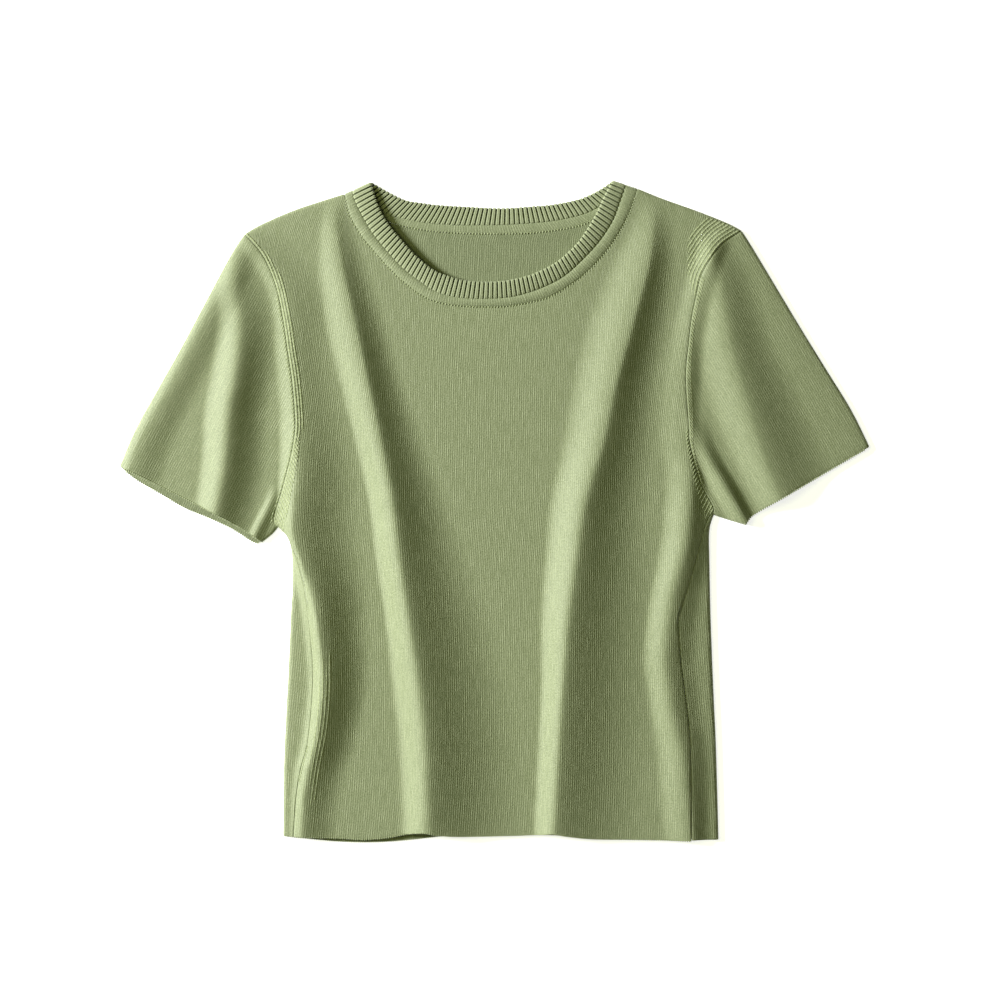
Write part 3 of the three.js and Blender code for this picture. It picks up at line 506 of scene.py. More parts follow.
front_xy = []
for share, offset in front_columns:
    place = share if not offset else (0.0 if offset > 0 else 1.0)
    underarm = UNDERARM_LEFT * (1 - place) + UNDERARM_RIGHT * place
    column = lambda y, s=share, o=offset: front_wale(s, o, y)
    ys = panel_rows(column, seam["front_hem"], front_top, underarm)
    front_xy.append(np.column_stack([column(ys), ys]))
front_xy = np.stack(front_xy, axis=1)
front_grid = laid(front_xy, True)
front_numbers = np.arange(front_grid.shape[0] * front_grid.shape[1]).reshape(front_grid.shape[:2])
middle_column = len(front_columns) // 2
front_wales = np.stack([arc(front_grid, 1, middle_column), arc(front_grid, 0, 0)], axis=-1)
row_lips = np.r_[LIP_SHARES[:-1], np.ones(LOWER_COUNT + UPPER_COUNT), LIP_SHARES[::-1]]
column_lips = np.ones(len(front_columns))
column_lips[:6] = LIP_SHARES[:6]
column_lips[-6:] = LIP_SHARES[5::-1]
ends = front_grid[-1]
at_shoulder = (ends[:, 0] <= SEAM_LINES["band_front"][0][0]) | (ends[:, 0] >= SEAM_LINES["band_front"][-1][0])
front_lip = np.minimum(row_lips[:, None], column_lips[None, :])
front_lip[-len(LIP_SHARES):, at_shoulder] = column_lips[at_shoulder]


def shoulder_seam(x):
    """The seam behind the shoulder fold, carried on towards the neck."""
    sides = []
    for name, tip, following in (("shoulder_left", 0, 1), ("shoulder_right", -1, -2)):
        a, b = np.array(FOLDED_EDGES[name][tip], float), np.array(FOLDED_EDGES[name][following], float)
        beyond = a[1] + (x - a[0]) * (b[1] - a[1]) / (b[0] - a[0])
        sides.append(np.where(np.abs(x) < abs(a[0]), beyond, height_at(seam[name], x)))
    return np.where(np.asarray(x) < 0, *sides) - SHOULDER_TURN


def between(points, share):
    """Points at the given shares of a line."""
    place = np.clip(share, 0, 1) * (len(points) - 1)
    i = np.minimum(place.astype(int), len(points) - 2)
    part = (place - i)[..., None]
    return points[i] * (1 - part) + points[i + 1] * part


def patch(low, high, left, right, s, t):
    """Places inside four lines: s runs along low and high, t along left and right."""
    a, b = s[..., None], t[..., None]
    spread = between(low, s) * (1 - b) + between(high, s) * b + between(left, t) * (1 - a)
    spread = spread + between(right, t) * a
    return spread - (low[0] * (1 - a) * (1 - b) + low[-1] * a * (1 - b) + high[0] * (1 - a) * b
                     + high[-1] * a * b)


front_parts = [front_grid.reshape(-1, 3)]
front_quads = [panels_of(front_numbers)]
front_uv = [front_wales.reshape(-1, 2)]
front_lips = [front_lip.ravel()]
TURN_DEPTHS = np.array([0.06, 0.2, 0.45, 0.8, 1.3, 2, 3, 6, 10, 13.5, 14.4, 15])
for way, armhole in ((1, seam["armhole_left"]), (-1, seam["armhole_right"])):
    chosen = np.nonzero(at_shoulder & (ends[:, 0] * way < 0))[0]
    edge = ends[chosen, :2]
    outer = armhole[::-1]
    outer = outer[outer[:, 1] > shoulder_seam(outer[:, 0])] + [way * SEAM_GAP, 0]
    neck = seam["band_back"][::way]
    neck = neck[(neck[:, 0] * way < -80) & (neck[:, 1] > shoulder_seam(neck[:, 0]))]
    neck = neck + [-way * SEAM_GAP / 2, -SEAM_GAP / 2]
    xs = np.linspace(outer[-1, 0], neck[-1, 0], 40)
    back_edge = np.column_stack([xs, shoulder_seam(xs) + SEAM_GAP / 2])
    outer[-1], neck[-1] = back_edge[0], back_edge[-1]
    low, high = (outer, neck) if way > 0 else (neck, outer)
    low[0], high[0] = edge[0], edge[-1]
    s, t = np.meshgrid(np.linspace(0, 1, len(chosen)), TURN_DEPTHS / SHOULDER_TURN)
    turned = laid(patch(edge, back_edge[::way], low, high, s, t), False)
    start = sum(len(p) for p in front_parts)
    numbers = start + np.arange(turned.shape[0] * turned.shape[1]).reshape(turned.shape[:2])
    front_parts.append(turned.reshape(-1, 3))
    front_quads.append(panels_of(np.vstack([front_numbers[-1, chosen], numbers])))
    spread = np.stack([np.broadcast_to(front_wales[-1, chosen, 0], s.shape),
                       front_wales[-1, chosen, 1] + TURN_DEPTHS[:, None]], axis=-1)
    front_uv.append(spread.reshape(-1, 2))
    front_lips.append(np.broadcast_to(column_lips[chosen], s.shape).ravel())
front_panel = knitted_piece("front_panel_cloth", np.vstack(front_parts), np.vstack(front_quads),
                            np.vstack(front_uv), np.concatenate(front_lips), front_knit, inside=purl_side_with_painted_shade)
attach(front_panel, "root")
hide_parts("front_panel")


# Back panel: the same knit, a little wider than the front. It lies flat under it and turns up round
# both sides to the side seams, so that a strip of it shows beside the front.
BACK_HEM = [(-170, -242), (-158, -242.5), (-134, -245), (-116, -246.5), (-98, -247), (-80, -246.5),
            (-62, -245), (-44, -243), (-26, -241), (10, -240.5), (46, -242), (73, -243), (109, -243.5),
            (167, -245), (175, -245)]
seam["back_hem"] = drawn(BACK_HEM)
back_knit = wool_knit("fine_wool_knit_back", "9ba37d", "677149", 0.16)


def back_left(y):
    return np.where(y <= UNDERARM_LEFT, across_at(seam["side_left"], y) + EDGE_ROUND,
                    front_left(y) + SEAM_GAP / 2)


def back_right(y):
    return np.where(y <= UNDERARM_RIGHT, across_at(seam["side_right"], y) - EDGE_ROUND,
                    front_right(y) - SEAM_GAP / 2)


def back_top(x):
    neck = np.where(np.abs(x) < 112, height_at(seam["band_back"], x) - SEAM_GAP / 2, np.inf)
    return np.minimum(shoulder_seam(x) - SEAM_GAP / 2, neck)


back_shares = np.r_[0, 0.002, 0.005, np.linspace(0.01, 0.99, 104), 0.995, 0.998, 1]
back_xy = []
for share in back_shares:
    column = lambda y, s=share: back_left(y) * (1 - s) + back_right(y) * s
    underarm = UNDERARM_LEFT * (1 - share) + UNDERARM_RIGHT * share
    ys = panel_rows(column, seam["back_hem"], back_top, underarm)
    back_xy.append(np.column_stack([column(ys), ys]))
back_xy = np.stack(back_xy, axis=1)
back_flat = laid(back_xy, False)
wrapped_rows = len(LIP_STEPS) - 1 + LOWER_COUNT + 1
WRAP_UNDER = np.array([1.2, 0.8, 0.45, 0.2, 0.06])
WRAP_OVER = np.array([0, 0.02, 0.07, 0.15, 0.26, 0.4, 0.55, 0.72, 0.86, 0.94, 0.975, 0.99, 1])
wraps = {}
for side, into, edge, side_seam in (("left", 1, "side_left", "side_seam_left"),
                                    ("right", -1, "side_right", "side_seam_right")):
    ys = back_xy[:wrapped_rows, 0 if into > 0 else -1, 1]
    fold = across_at(seam[edge], ys)
    room_width = (across_at(seam[side_seam], ys) - fold) * into - SEAM_GAP / 2
    under = np.stack([np.column_stack([fold + into * d, ys]) for d in WRAP_UNDER], axis=1)
    over = np.stack([np.column_stack([fold + into * room_width * d, ys]) for d in WRAP_OVER], axis=1)
    rows = np.concatenate([laid(under, False), laid(over, True)], axis=1)
    wraps[side] = rows[:, ::-1] if into > 0 else rows
count_under_over = len(WRAP_UNDER) + len(WRAP_OVER)
back_shape = (back_flat.shape[0], back_flat.shape[1] + 2 * count_under_over)
back_grid = np.full((*back_shape, 3), np.nan)
back_grid[:, count_under_over:-count_under_over] = back_flat
back_grid[:wrapped_rows, :count_under_over] = wraps["left"]
back_grid[:wrapped_rows, -count_under_over:] = wraps["right"]
real = ~np.isnan(back_grid[..., 0])
back_numbers = np.full(back_shape, -1)
back_numbers[real] = np.arange(real.sum())
filled = np.where(real[..., None], back_grid, np.take(back_grid, [count_under_over], axis=1))
filled = np.where(np.isnan(filled), 0, filled)
back_wales = np.stack([arc(filled, 1, back_shape[1] // 2), arc(filled, 0, 0)], axis=-1)
back_lip = np.broadcast_to(row_lips[:, None], back_shape).copy()
for k in range(5):
    back_lip[:, k] = np.minimum(back_lip[:, k], LIP_SHARES[k])
    back_lip[:, -1 - k] = np.minimum(back_lip[:, -1 - k], LIP_SHARES[k])
back_panel = knitted_piece("back_panel_cloth", back_grid[real], panels_of(back_numbers[::-1]),
                           back_wales[real], back_lip[real], back_knit, inside=purl_side_with_painted_shade)
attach(back_panel, "root")
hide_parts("back_panel")


# Sleeves: short tubes of the same knit, closed along the underarm and set into the armholes. Laid
# flat, each has a folded edge above and below, and its open hem slants down and outwards.
SLEEVE_LINES = {
    "hem_left_front": [(-175, -22), (-183, -16), (-197, -7.5), (-215, 2), (-233, 11), (-251, 20),
                       (-269, 29), (-280.5, 34)],
    "hem_left_back": [(-175, -22), (-181, -22), (-197, -12), (-215, -3.5), (-233, 4), (-251, 14.5),
                      (-269, 25), (-280.5, 34)],
    "hem_right_front": [(188, -9), (193, -2), (221, 14.5), (251, 32), (280, 49)],
    "hem_right_back": [(188, -9), (194, -1), (221, 15.5), (251, 33), (280, 49)],
}
seam.update({name: drawn(points) for name, points in SLEEVE_LINES.items()})
sleeve_knit = wool_knit("fine_wool_knit_sleeve", "9ba37d", "677149", 0.14)
SLEEVE_ROWS = np.r_[0, 0.0025, 0.006, 0.012, np.linspace(0.02, 0.98, 84), 0.988, 0.993, 0.997, 1]
SLEEVE_LIPS = np.r_[0.45, 0.7, 0.88, 0.96, np.ones(84), 0.96, 0.88, 0.7, 0.5]


def sleeve(name, armhole, front_hem, back_hem, low, high, out):
    """A flattened tube between an armhole and its hem; low and high are its folded edges."""
    start = armhole + np.column_stack([out * gap_at(armhole[:, 1], armhole[0, 1]), np.zeros(len(armhole))])
    low_edge, high_edge = np.vstack([start[:1], low[1:]]), np.vstack([start[-1:], high[1:]])
    length = 230
    near = np.array([0.0003, 0.001, 0.002, 0.0035, 0.0057, 0.009])
    shares = np.r_[0, near, np.linspace(0.014, 0.986, 92), 1 - near[::-1], 1]
    s, t = np.meshgrid(shares, SLEEVE_ROWS)
    upper = laid(patch(start, front_hem, low_edge, high_edge, s, t), True)
    lower = laid(patch(start, back_hem, low_edge, high_edge, s, t), False)
    ring = np.concatenate([upper, lower[:, -2:0:-1]], axis=1)
    numbers = np.arange(ring.shape[0] * ring.shape[1]).reshape(ring.shape[:2])
    if out > 0:
        numbers = numbers[::-1]
    tip, end = high_edge[0], high_edge[-1]
    down = (end - tip) / np.linalg.norm(end - tip)
    away = ring[..., :2] - tip
    wales = np.stack([away @ [-down[1], down[0]], away @ down], axis=-1)
    lip = np.broadcast_to(SLEEVE_LIPS[:, None], ring.shape[:2])
    made = knitted_piece(name, ring.reshape(-1, 3), panels_of(numbers, closed=True), wales.reshape(-1, 2),
                         lip.ravel(), sleeve_knit, inside=purl_side_with_painted_shade)
    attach(made, "root")
    return made


sleeve_right = sleeve("sleeve_right_cloth", seam["armhole_left"], seam["hem_left_front"],
                      seam["hem_left_back"], seam["sleeve_low_left"][::-1], seam["sleeve_top_left"], -1)
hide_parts("sleeve_right")
sleeve_left = sleeve("sleeve_left_cloth", seam["armhole_right"], seam["hem_right_front"],
                     seam["hem_right_back"], seam["sleeve_low_right"], seam["sleeve_top_right"][::-1], 1)
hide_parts("sleeve_left")


# Neck rib: a strip of one-by-one rib in the same wool, twelve millimetres deep, whose free edge stands
# up a little round the neck. It is knitted as a ring with its band and linked on by that.
COLLAR_LINES = {
    "free_front": [(-93, 247), (-92, 242.5), (-87, 228), (-80, 215.5), (-68, 201), (-58.5, 191), (-46, 181),
                   (-34, 176), (-22.5, 173), (-2, 172), (15, 174), (29, 178), (46.5, 187), (61, 200),
                   (69, 211), (76.5, 224), (82, 236), (88.5, 248)],
    "rib_front": [(-106, 241), (-105.5, 236), (-100, 224), (-91.5, 209.5), (-80, 195), (-68, 182.5),
                  (-57, 174), (-44, 165.5), (-28.5, 161), (-8, 160), (9, 161), (23, 164), (39, 170),
                  (53, 178), (66, 190), (78, 203), (88, 218.5), (94, 234.5), (97.5, 245)],
    "free_back": [(-93, 247), (-79, 239), (-67, 233.5), (-55, 231.5), (-43, 230), (-19, 228.5), (5, 227.5),
                  (29, 229), (41, 230), (53, 232), (65, 235), (77, 240.5), (88.5, 248)],
    "rib_back": [(-106, 241), (-94, 230.5), (-80, 223), (-65, 219.5), (-49, 217), (-28.5, 215.5),
                 (-2, 215.5), (20, 216.5), (42, 218.5), (64, 223), (79, 230), (97.5, 245)],
}
seam.update({name: drawn(points) for name, points in COLLAR_LINES.items()})
COLLAR_LIFT = 1.6
COLLAR_WALL = 1.5
RIB_PITCH = 3.2
RIB_COUNTS = (79, 58)


def collar_ring(name, lines, lifts, counts, steps_each, rows, crown, material, wall, lips):
    """A ring of the collar, over the front and back under the neck, between four lines of the outline."""
    front_in, front_out, back_in, back_out = (seam[line] for line in lines)
    over = np.arange(counts[0] * steps_each + 1) / (counts[0] * steps_each)
    under = np.arange(1, counts[1] * steps_each)[::-1] / (counts[1] * steps_each)
    inner = np.vstack([between(front_in, over), between(back_in, under)])
    outer = np.vstack([between(front_out, over), between(back_out, under)])
    is_front = np.r_[np.ones(len(over), bool), np.zeros(len(under), bool)]
    rib = np.r_[over * counts[0], counts[0] + (1 - under) * counts[1]]
    gap = SEAM_GAP / 2 / np.linalg.norm(outer - inner, axis=1)[:, None]
    share = gap + (1 - 2 * gap) * rows[None, :]
    xy = outer[:, None] * (1 - share[..., None]) + inner[:, None] * share[..., None]
    high, low = laid(xy, True), laid(xy, False)
    away = from_fold(xy[..., 0], xy[..., 1])
    rise = (lifts[0] + (lifts[1] - lifts[0]) * rows) + crown * np.sin(np.pi * rows)
    high[..., 2] += rise * (1 - np.exp(-away / 12))
    low[..., 2] += 0.25 * crown * np.sin(np.pi * rows) * (1 - np.exp(-away / 12))
    ring = np.where(is_front[:, None, None], high, low)
    numbers = np.arange(ring.shape[0] * ring.shape[1]).reshape(ring.shape[:2]).T
    wales = np.stack([np.broadcast_to(RIB_PITCH * rib[:, None], ring.shape[:2]), arc(ring, 1, 0)], axis=-1)
    lip = np.broadcast_to(lips[None, :], ring.shape[:2])
    flat = [ring.reshape(-1, 3), panels_of(numbers, closed=True)[:, ::-1], wales.reshape(-1, 2), lip.ravel()]
    labels = {"rib_number": np.tile(np.repeat(rib, len(rows)), 2),
              "from_band": np.tile(np.tile(rows, len(ring)), 2)}
    return knitted_piece(name, *flat, material, wall, extra=labels)


def from_rib_middle(tree, number):
    """How far a place is from the middle of its rib: 0 on the crest, 0.5 between two ribs."""
    phase = maths(tree, "FRACT", number)
    off = maths(tree, "SUBTRACT", phase.outputs[0], 0.5)
    return maths(tree, "ABSOLUTE", off.outputs[0])


def ribbed_wool(name, light, dark):
    """One-by-one rib in the same wool: plump light ribs with a fine line down each, and grooves darkened with
    painted shade, the more so towards the free edge. The pattern follows the millimetres along the strip in
    the piece's own map."""
    material, tree, shader = new_material(name)
    place = add(tree, "ShaderNodeUVMap", uv_map="wales").outputs["UV"]
    split = add(tree, "ShaderNodeSeparateXYZ", {"Vector": place})
    number = maths(tree, "DIVIDE", split.outputs["X"], RIB_PITCH)
    off = from_rib_middle(tree, number.outputs[0])
    # Painted shade: the grooves between the ribs are darkened in the colour, the more so towards the free
    # edge.
    painted_groove_shade = add(tree, "ShaderNodeMapRange", {"Value": off.outputs[0], "From Min": 0.3, "From Max": 0.4},
                 interpolation_type="SMOOTHSTEP")
    line = add(tree, "ShaderNodeMapRange", {"Value": off.outputs[0], "From Min": 0.09, "From Max": 0.0,
                                            "To Max": 0.35}, interpolation_type="SMOOTHSTEP")
    near = add(tree, "ShaderNodeMapRange", {"Value": split.outputs["Y"], "From Min": 0.0, "From Max": 13.0,
                                            "To Min": 0.65, "To Max": 1.0})
    deep = maths(tree, "MULTIPLY", painted_groove_shade.outputs[0], near.outputs[0])
    crest_line_and_painted_shade = maths(tree, "ADD", deep.outputs[0], line.outputs[0], use_clamp=True)
    grain_place = add(tree, "ShaderNodeMapping", {"Vector": place, "Scale": (1.9, 0.8, 1)})
    grain = add(tree, "ShaderNodeTexNoise", {"Vector": grain_place.outputs[0], "Scale": 1.0,
                                             "Detail": 2.0}).outputs["Fac"]
    part = maths(tree, "MULTIPLY_ADD", grain, 0.5, crest_line_and_painted_shade.outputs[0])
    part = maths(tree, "SUBTRACT", part.outputs[0], 0.2, use_clamp=True)
    colour = add(tree, "ShaderNodeMix", {"Factor": part.outputs[0], 6: linear(light), 7: linear(dark)},
                 data_type="RGBA")
    tree.links.new(colour.outputs[2], shader.inputs["Base Color"])
    height = maths(tree, "MULTIPLY", part.outputs[0], -1.0)
    bump = add(tree, "ShaderNodeBump", {"Height": height.outputs[0], "Strength": 1.0, "Distance": 0.25 * MM})
    tree.links.new(bump.outputs[0], shader.inputs["Normal"])
    finish(shader, Roughness=0.92, Specular_IOR_Level=0.15, Sheen_Weight=0.2, Sheen_Roughness=0.45,
           Sheen_Tint=linear("fbfbee"))
    return material


def node_tree(name, inputs):
    """A geometry-nodes tree from one geometry to another, with the sockets of its named inputs."""
    tree = bpy.data.node_groups.new(name, "GeometryNodeTree")
    tree.interface.new_socket("Geometry", in_out="INPUT", socket_type="NodeSocketGeometry")
    for label, kind in inputs.items():
        tree.interface.new_socket(label, in_out="INPUT", socket_type="NodeSocket" + kind)
    tree.interface.new_socket("Geometry", in_out="OUTPUT", socket_type="NodeSocketGeometry")
    return tree, add(tree, "NodeGroupInput").outputs


def rib_tree():
    """Geometry nodes that raise the ribs on a smooth ring."""
    tree, given = node_tree("one_by_one_rib", {"Rib height": "Float", "Height at the band": "Float",
                                               "Material": "Material"})
    number = add(tree, "GeometryNodeInputNamedAttribute", {"Name": "rib_number"}, data_type="FLOAT")
    depth = add(tree, "GeometryNodeInputNamedAttribute", {"Name": "from_band"}, data_type="FLOAT")
    off = from_rib_middle(tree, number.outputs["Attribute"])
    rib = add(tree, "ShaderNodeMapRange", {"Value": off.outputs[0], "From Min": 0.28, "From Max": 0.46,
                                           "To Min": 1.0, "To Max": 0.0}, interpolation_type="SMOOTHSTEP")
    tall = add(tree, "ShaderNodeMapRange", {"Value": depth.outputs["Attribute"],
                                            "To Min": given["Height at the band"],
                                            "To Max": given["Rib height"]})
    move = maths(tree, "MULTIPLY", rib.outputs[0], tall.outputs[0])
    normal = add(tree, "GeometryNodeInputNormal")
    offset = add(tree, "ShaderNodeVectorMath", {0: normal.outputs["Normal"], "Scale": move.outputs[0]},
                 operation="SCALE")
    moved = add(tree, "GeometryNodeSetPosition", {"Geometry": given["Geometry"],
                                                  "Offset": offset.outputs["Vector"]})
    real_mesh = add(tree, "GeometryNodeRealizeInstances", {"Geometry": moved.outputs["Geometry"]})
    dressed = add(tree, "GeometryNodeSetMaterial", {"Geometry": real_mesh.outputs["Geometry"],
                                                    "Material": given["Material"]})
    add(tree, "NodeGroupOutput", {"Geometry": dressed.outputs["Geometry"]})
    return tree


def made_by(tree, base, values):
    """The plain mesh that a geometry-nodes tree makes of an object, in that object's place."""
    modifier = base.modifiers.new(tree.name, "NODES")
    modifier.node_group = tree
    for item in tree.interface.items_tree:
        if item.in_out == "INPUT" and item.name in values:
            modifier[item.identifier] = values[item.name]
    result = bpy.data.meshes.new_from_object(base.evaluated_get(bpy.context.evaluated_depsgraph_get()))
    result.name = base.name
    base.modifiers.remove(modifier)
    old = base.data
    base.data = result
    bpy.data.meshes.remove(old)
    return base


# The dark colour serves the painted shade in the grooves as well as the crest line and the grain.
rib_wool = ribbed_wool("one_by_one_rib_wool", "a0a883", "2f391a")
rib_rows = np.array([0, 0.03, 0.09, 0.2, 0.36, 0.52, 0.68, 0.82, 0.92, 0.975, 1.0])
rib_lips = np.array([0.5, 0.75, 0.92, 1, 1, 1, 1, 1, 0.96, 0.8, 0.5])
neck_rib = collar_ring("neck_rib_cloth", ("free_front", "rib_front", "free_back", "rib_back"),
                       (0.4 * COLLAR_LIFT, COLLAR_LIFT), RIB_COUNTS, 12, rib_rows, 0.5, rib_wool,
                       COLLAR_WALL, rib_lips)
made_by(rib_tree(), neck_rib, {"Rib height": 0.8 * MM, "Height at the band": 0.4 * MM,
                               "Material": rib_wool})
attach(neck_rib, "root")
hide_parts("neck_rib")


# Neck band: the plain tubular end of the collar, seven millimetres deep. It is folded over the raw
# neck edge and linked to the body loop by loop, which leaves a dotted row along it.
band_wool = wool_knit("plain_tubular_band_wool", "9da57f", "6c7651", 0.14, 0.09)
band_rows = np.array([0, 0.04, 0.12, 0.25, 0.42, 0.58, 0.75, 0.88, 0.96, 1.0])
band_lips = np.array([0.5, 0.75, 0.92, 1, 1, 1, 1, 0.92, 0.75, 0.5])
neck_band = collar_ring("neck_band_cloth", ("rib_front", "band_front", "rib_back", "band_back"),
                        (0, 0.4 * COLLAR_LIFT), RIB_COUNTS, 4, band_rows, 0.6, band_wool, COLLAR_WALL,
                        band_lips)
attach(neck_band, "root")
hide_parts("neck_band")


# Armhole joins: where the knit is linked to the sleeves its wales are drawn aside, so that plump cords
# of wool run along the join or slant away from it in a herringbone. Each cord is a row of wool loops.
LOOP_STEP = 2.2


def on_cloth(xy, upper=True):
    """Points on the visible face of the cloth over the places xy, and its normals there."""
    reach = 0.3
    here = laid(xy, upper)
    slopes = [(laid(xy + [a, b], upper) - laid(xy - [a, b], upper))[:, 2] / (2 * reach)
              for a, b in ((reach, 0), (0, reach))]
    normal = np.column_stack([-slopes[0], -slopes[1], np.ones(len(xy))])
    normal /= np.linalg.norm(normal, axis=1, keepdims=True)
    return here + normal * WALL / 2, normal


def loop_tree():
    """Geometry nodes that lay one small wool loop at each point, along and up as its attributes say."""
    tree, given = node_tree("wool_loops", {"Sides": "Int", "Rings": "Int", "Material": "Material"})
    along = add(tree, "GeometryNodeInputNamedAttribute", {"Name": "along"}, data_type="FLOAT_VECTOR")
    up = add(tree, "GeometryNodeInputNamedAttribute", {"Name": "up"}, data_type="FLOAT_VECTOR")
    size = add(tree, "GeometryNodeInputNamedAttribute", {"Name": "half_size"}, data_type="FLOAT_VECTOR")
    loop = add(tree, "GeometryNodeMeshUVSphere", {"Segments": given["Sides"], "Rings": given["Rings"],
                                                  "Radius": 1.0})
    turned = add(tree, "FunctionNodeAlignRotationToVector", {"Vector": up.outputs["Attribute"]}, axis="Z")
    turned = add(tree, "FunctionNodeAlignRotationToVector",
                 {"Rotation": turned.outputs["Rotation"], "Vector": along.outputs["Attribute"]},
                 axis="X", pivot_axis="Z")
    laid_loops = add(tree, "GeometryNodeInstanceOnPoints",
                     {"Points": given["Geometry"], "Instance": loop.outputs["Mesh"],
                      "Rotation": turned.outputs["Rotation"], "Scale": size.outputs["Attribute"]})
    real_mesh = add(tree, "GeometryNodeRealizeInstances", {"Geometry": laid_loops.outputs["Instances"]})
    soft = add(tree, "GeometryNodeSetShadeSmooth", {"Geometry": real_mesh.outputs["Geometry"]})
    dressed = add(tree, "GeometryNodeSetMaterial", {"Geometry": soft.outputs["Geometry"],
                                                    "Material": given["Material"]})
    add(tree, "NodeGroupOutput", {"Geometry": dressed.outputs["Geometry"]})
    return tree


wool_loops = loop_tree()


def loop_wool(name, base, shade):
    """The same combed wool where its loops stand free: matt and fuzzy, a little uneven in tone."""
    material, tree, shader = new_material(name)
    place = add(tree, "ShaderNodeTexCoord").outputs["Object"]
    grain = add(tree, "ShaderNodeTexNoise", {"Vector": place, "Scale": 450.0, "Detail": 2.0}).outputs["Fac"]
    part = add(tree, "ShaderNodeMapRange", {"Value": grain, "From Min": 0.3, "From Max": 0.7})
    colour = add(tree, "ShaderNodeMix", {"Factor": part.outputs[0], 6: linear(shade), 7: linear(base)},
                 data_type="RGBA")
    tree.links.new(colour.outputs[2], shader.inputs["Base Color"])
    bump = add(tree, "ShaderNodeBump", {"Height": grain, "Strength": 0.6, "Distance": 0.1 * MM})
    tree.links.new(bump.outputs[0], shader.inputs["Normal"])
    finish(shader, Roughness=0.92, Specular_IOR_Level=0.15, Sheen_Weight=0.22, Sheen_Roughness=0.45,
           Sheen_Tint=linear("fbfbee"))
    return material


free_wool = loop_wool("combed_wool_loops", "a4ac84", "7f8961")


def wool_rows(name, rows, sides=8, rings=5):
    """One piece of many loops. A row has places, directions, half sizes, a lift and its layer."""
    points, along, up, half = [], [], [], []
    for xy, way, size, lift, upper in rows:
        face, normal = on_cloth(xy, upper)
        points.append(face + normal * lift)
        run = np.column_stack([way, np.zeros(len(way))])
        run -= normal * (run * normal).sum(axis=1, keepdims=True)
        along.append(run / np.linalg.norm(run, axis=1, keepdims=True))
        up.append(normal)
        half.append(np.broadcast_to(np.array(size) * MM, (len(xy), 3)))
    mesh = bpy.data.meshes.new(name)
    mesh.from_pydata((np.vstack(points) * MM).tolist(), [], [])
    for label, value in (("along", along), ("up", up), ("half_size", half)):
        attribute = mesh.attributes.new(label, "FLOAT_VECTOR", "POINT")
        attribute.data.foreach_set("vector", np.vstack(value).astype(np.float32).ravel())
    made = bpy.data.objects.new(name, mesh)
    bpy.context.scene.collection.objects.link(made)
    made_by(wool_loops, made, {"Sides": sides, "Rings": rings, "Material": free_wool})
    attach(made, "root")
    return made


def beside(line, distance):
    """A line's points moved sideways, to the right of its direction, with the unit directions."""
    way = np.gradient(line, axis=0)
    way /= np.linalg.norm(way, axis=1, keepdims=True)
    return line + distance * np.column_stack([way[:, 1], -way[:, 0]]), way


def tapered(size, y, top):
    """Half sizes of a cord's loops, which shrink towards its lower end and towards its top if that is
    free."""
    rank = np.argsort(np.argsort(y))
    end = np.minimum(rank, rank[::-1]) if top else rank
    share = np.clip(0.4 + end / 5, 0, 1)[:, None]
    return np.array(size) * np.hstack([0.5 + share / 2, share, share])


def parallel_cords(line, offsets, spans, size, lift=-0.12):
    """Cords that run along a join at the given distances from it, each between two heights."""
    rows = []
    for offset, (low, high) in zip(offsets, spans):
        moved, _ = beside(line, offset)
        inside = (moved[:, 1] > low) & (moved[:, 1] < np.minimum(high, front_top(moved[:, 0]) - 1.3))
        moved = drawn(moved[inside], LOOP_STEP)
        _, way = beside(moved, 0)
        rows.append((moved, way, tapered(size, moved[:, 1], high < SHOULDER_TOP), lift, True))
    return rows


def slanting_cords(line, side, heights, lengths, way, size, start=0.9, lift=-0.08):
    """Short cords that slant away from a join, one at each height, and end inside the outline."""
    way = np.array(way) / np.hypot(*way)
    rows = []
    for y, length in zip(heights, lengths):
        first = np.array([float(across_at(line, y)) + side * start, y])
        count = max(1, round(length / LOOP_STEP))
        places = first + ((np.arange(count) + 0.5) * length / count)[:, None] * way
        inner = (places[:, 0] > front_left(places[:, 1]) + 1) | (places[:, 1] > UNDERARM_LEFT)
        inner &= (places[:, 0] < front_right(places[:, 1]) - 1) | (places[:, 1] > UNDERARM_RIGHT)
        if inner.any():
            half = (max(size[0], 0.62 * length / count), size[1], size[2])
            rows.append((places[inner], np.tile(way, (inner.sum(), 1)), half, lift, True))
    return rows


SHOULDER_TOP = 240
CORD = (1.75, 0.8, 0.4)
THIN_CORD = (1.6, 0.55, 0.32)
left_join, right_join = seam["armhole_left"], seam["armhole_right"]
left_rows = parallel_cords(left_join, (1.35, 3.4, 5.4), ((44, SHOULDER_TOP), (50, 199), (58, 184)), CORD)
heights = np.arange(58, -9, -2.8)
left_rows += slanting_cords(left_join, 1, heights, 5 + (58 - heights) * 0.15, (0.52, -0.85), CORD)
heights = np.arange(160, -8, -2.9)
left_rows += slanting_cords(left_join, -1, heights, 2.6 + 0 * heights, (-0.5, -0.87), THIN_CORD, 0.5)
wool_rows("armhole_cords_right", left_rows)
right_rows = parallel_cords(right_join[::-1], 1.4 + 2.5 * np.arange(9),
                            [(low, SHOULDER_TOP) for low in (160, 163, 168, 173, 179, 185, 191, 196, 201)],
                            CORD)
heights = np.arange(176, 24, -2.7)
right_rows += slanting_cords(right_join, 1, heights, 3.8 + 4 * np.exp(-((heights - 88) / 26) ** 2),
                             (0.52, -0.85), THIN_CORD, 0.6)
heights = np.arange(62, 2, -2.7)
right_rows += slanting_cords(right_join, -1, heights, 3 + 8 * np.exp((5 - heights) / 14), (-0.5, -0.87),
                             THIN_CORD, 0.6)
wool_rows("armhole_cords_left", right_rows)


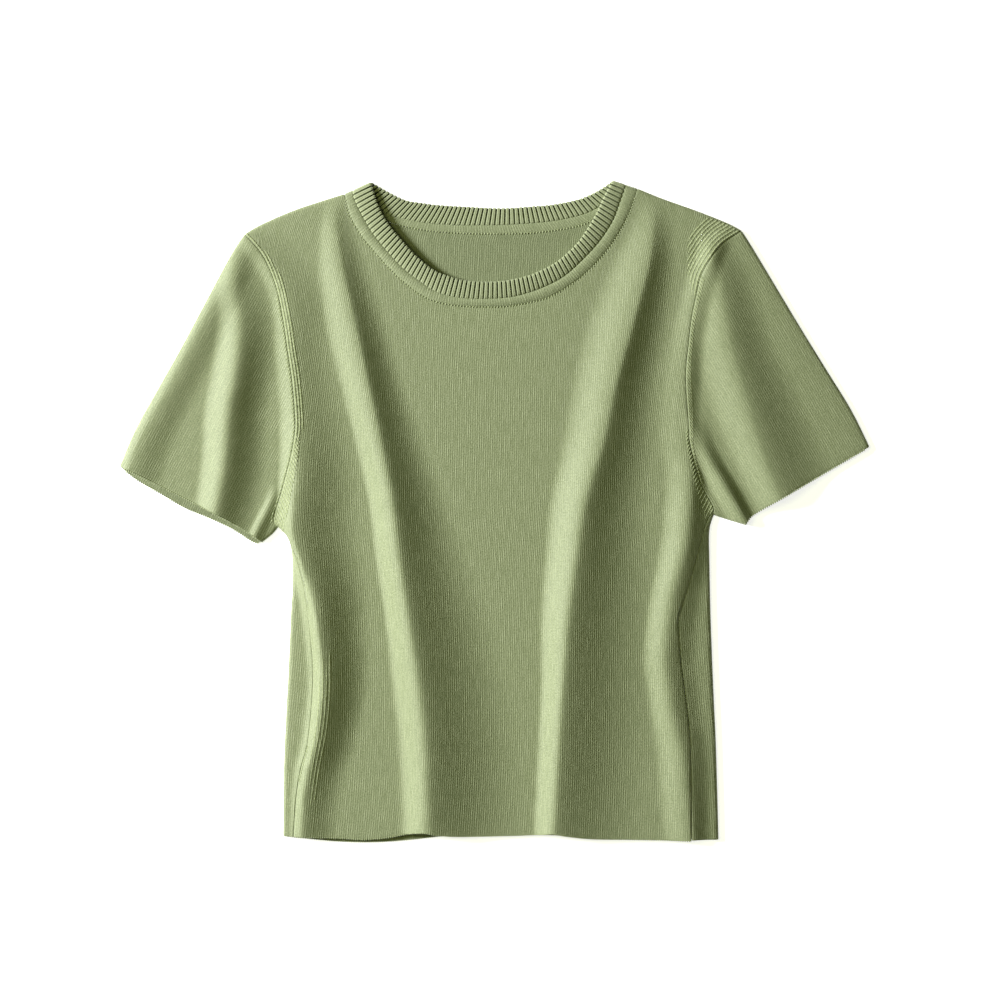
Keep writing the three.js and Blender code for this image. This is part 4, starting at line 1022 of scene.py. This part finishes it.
# Linking row: the collar is joined to the body loop by loop, and each loop shows as a small bead of
# wool across the join. It runs on round the back of the neck.
LINK_STEP = 2.3
LINK_LOOP = (0.95, 0.62, 0.34)
link_rows = []
for name, upper in (("band_front", True), ("band_back", False)):
    row = drawn(seam[name][3:-3:3], LINK_STEP)
    _, way = beside(row, 0)
    link_rows.append((row, np.column_stack([way[:, 1], -way[:, 0]]), LINK_LOOP, -0.05, upper))
wool_rows("neck_linking_loops", link_rows, 6, 4)


# Hem ends: the body and the sleeves end in a plain knitted edge, where the last loop of every wale
# stands out a little, so that the hems are finely toothed. The side seams are linked the same way, and
# four wales are drawn up along the roll beside the viewer's left one.
HEM_LOOP = (0.9, 0.58, 0.6)
HEM_SINK = 0.45
HEM_STEP = 1.65
SEAM_STEP = 3.1
SEAM_LOOP = (1.5, 0.6, 0.45)
hem_rows = []
for name, upper, low, high in (("front_hem", True, front_left(-240), front_right(-240)),
                               ("back_hem", False, -157, 165)):
    row = drawn(seam[name][::4], HEM_STEP)
    row = row[(row[:, 0] > low + 0.5) & (row[:, 0] < high - 0.5)]
    hem_rows.append((row + [0, 0.35], np.tile([0.0, 1.0], (len(row), 1)), HEM_LOOP, -HEM_SINK, upper))
for name, upper in (("hem_left_front", True), ("hem_left_back", False), ("hem_right_front", True),
                    ("hem_right_back", False)):
    row = drawn(seam[name][2:-2:3], HEM_STEP)
    _, way = beside(row, 0)
    hem_rows.append((row, np.column_stack([way[:, 1], -way[:, 0]]), HEM_LOOP, -HEM_SINK, upper))
wool_rows("hem_loops", hem_rows, 6, 4)
seam_rows = []
for name, side, top in (("side_seam_left", 1, -22), ("side_seam_right", -1, -108)):
    heights = np.arange(top, -238, -SEAM_STEP)
    seam_rows += slanting_cords(seam[name], side, heights, 3.0 + 0 * heights, (side * 0.3, -0.95),
                                SEAM_LOOP, 0.6)
roll_wales = drawn([(-126, -96), (-125.5, -128), (-128, -160), (-134, -192), (-138.5, -224)])
seam_rows += parallel_cords(roll_wales, (-2.4, 0, 2.4, 4.8), ((-220, -100), (-224, -110), (-210, -104),
                                                              (-190, -120)), (1.75, 0.7, 0.3), -0.14)
wool_rows("side_seam_loops", seam_rows, 6, 4)


# Bounds of everything shown, apart from the table.
low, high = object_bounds()
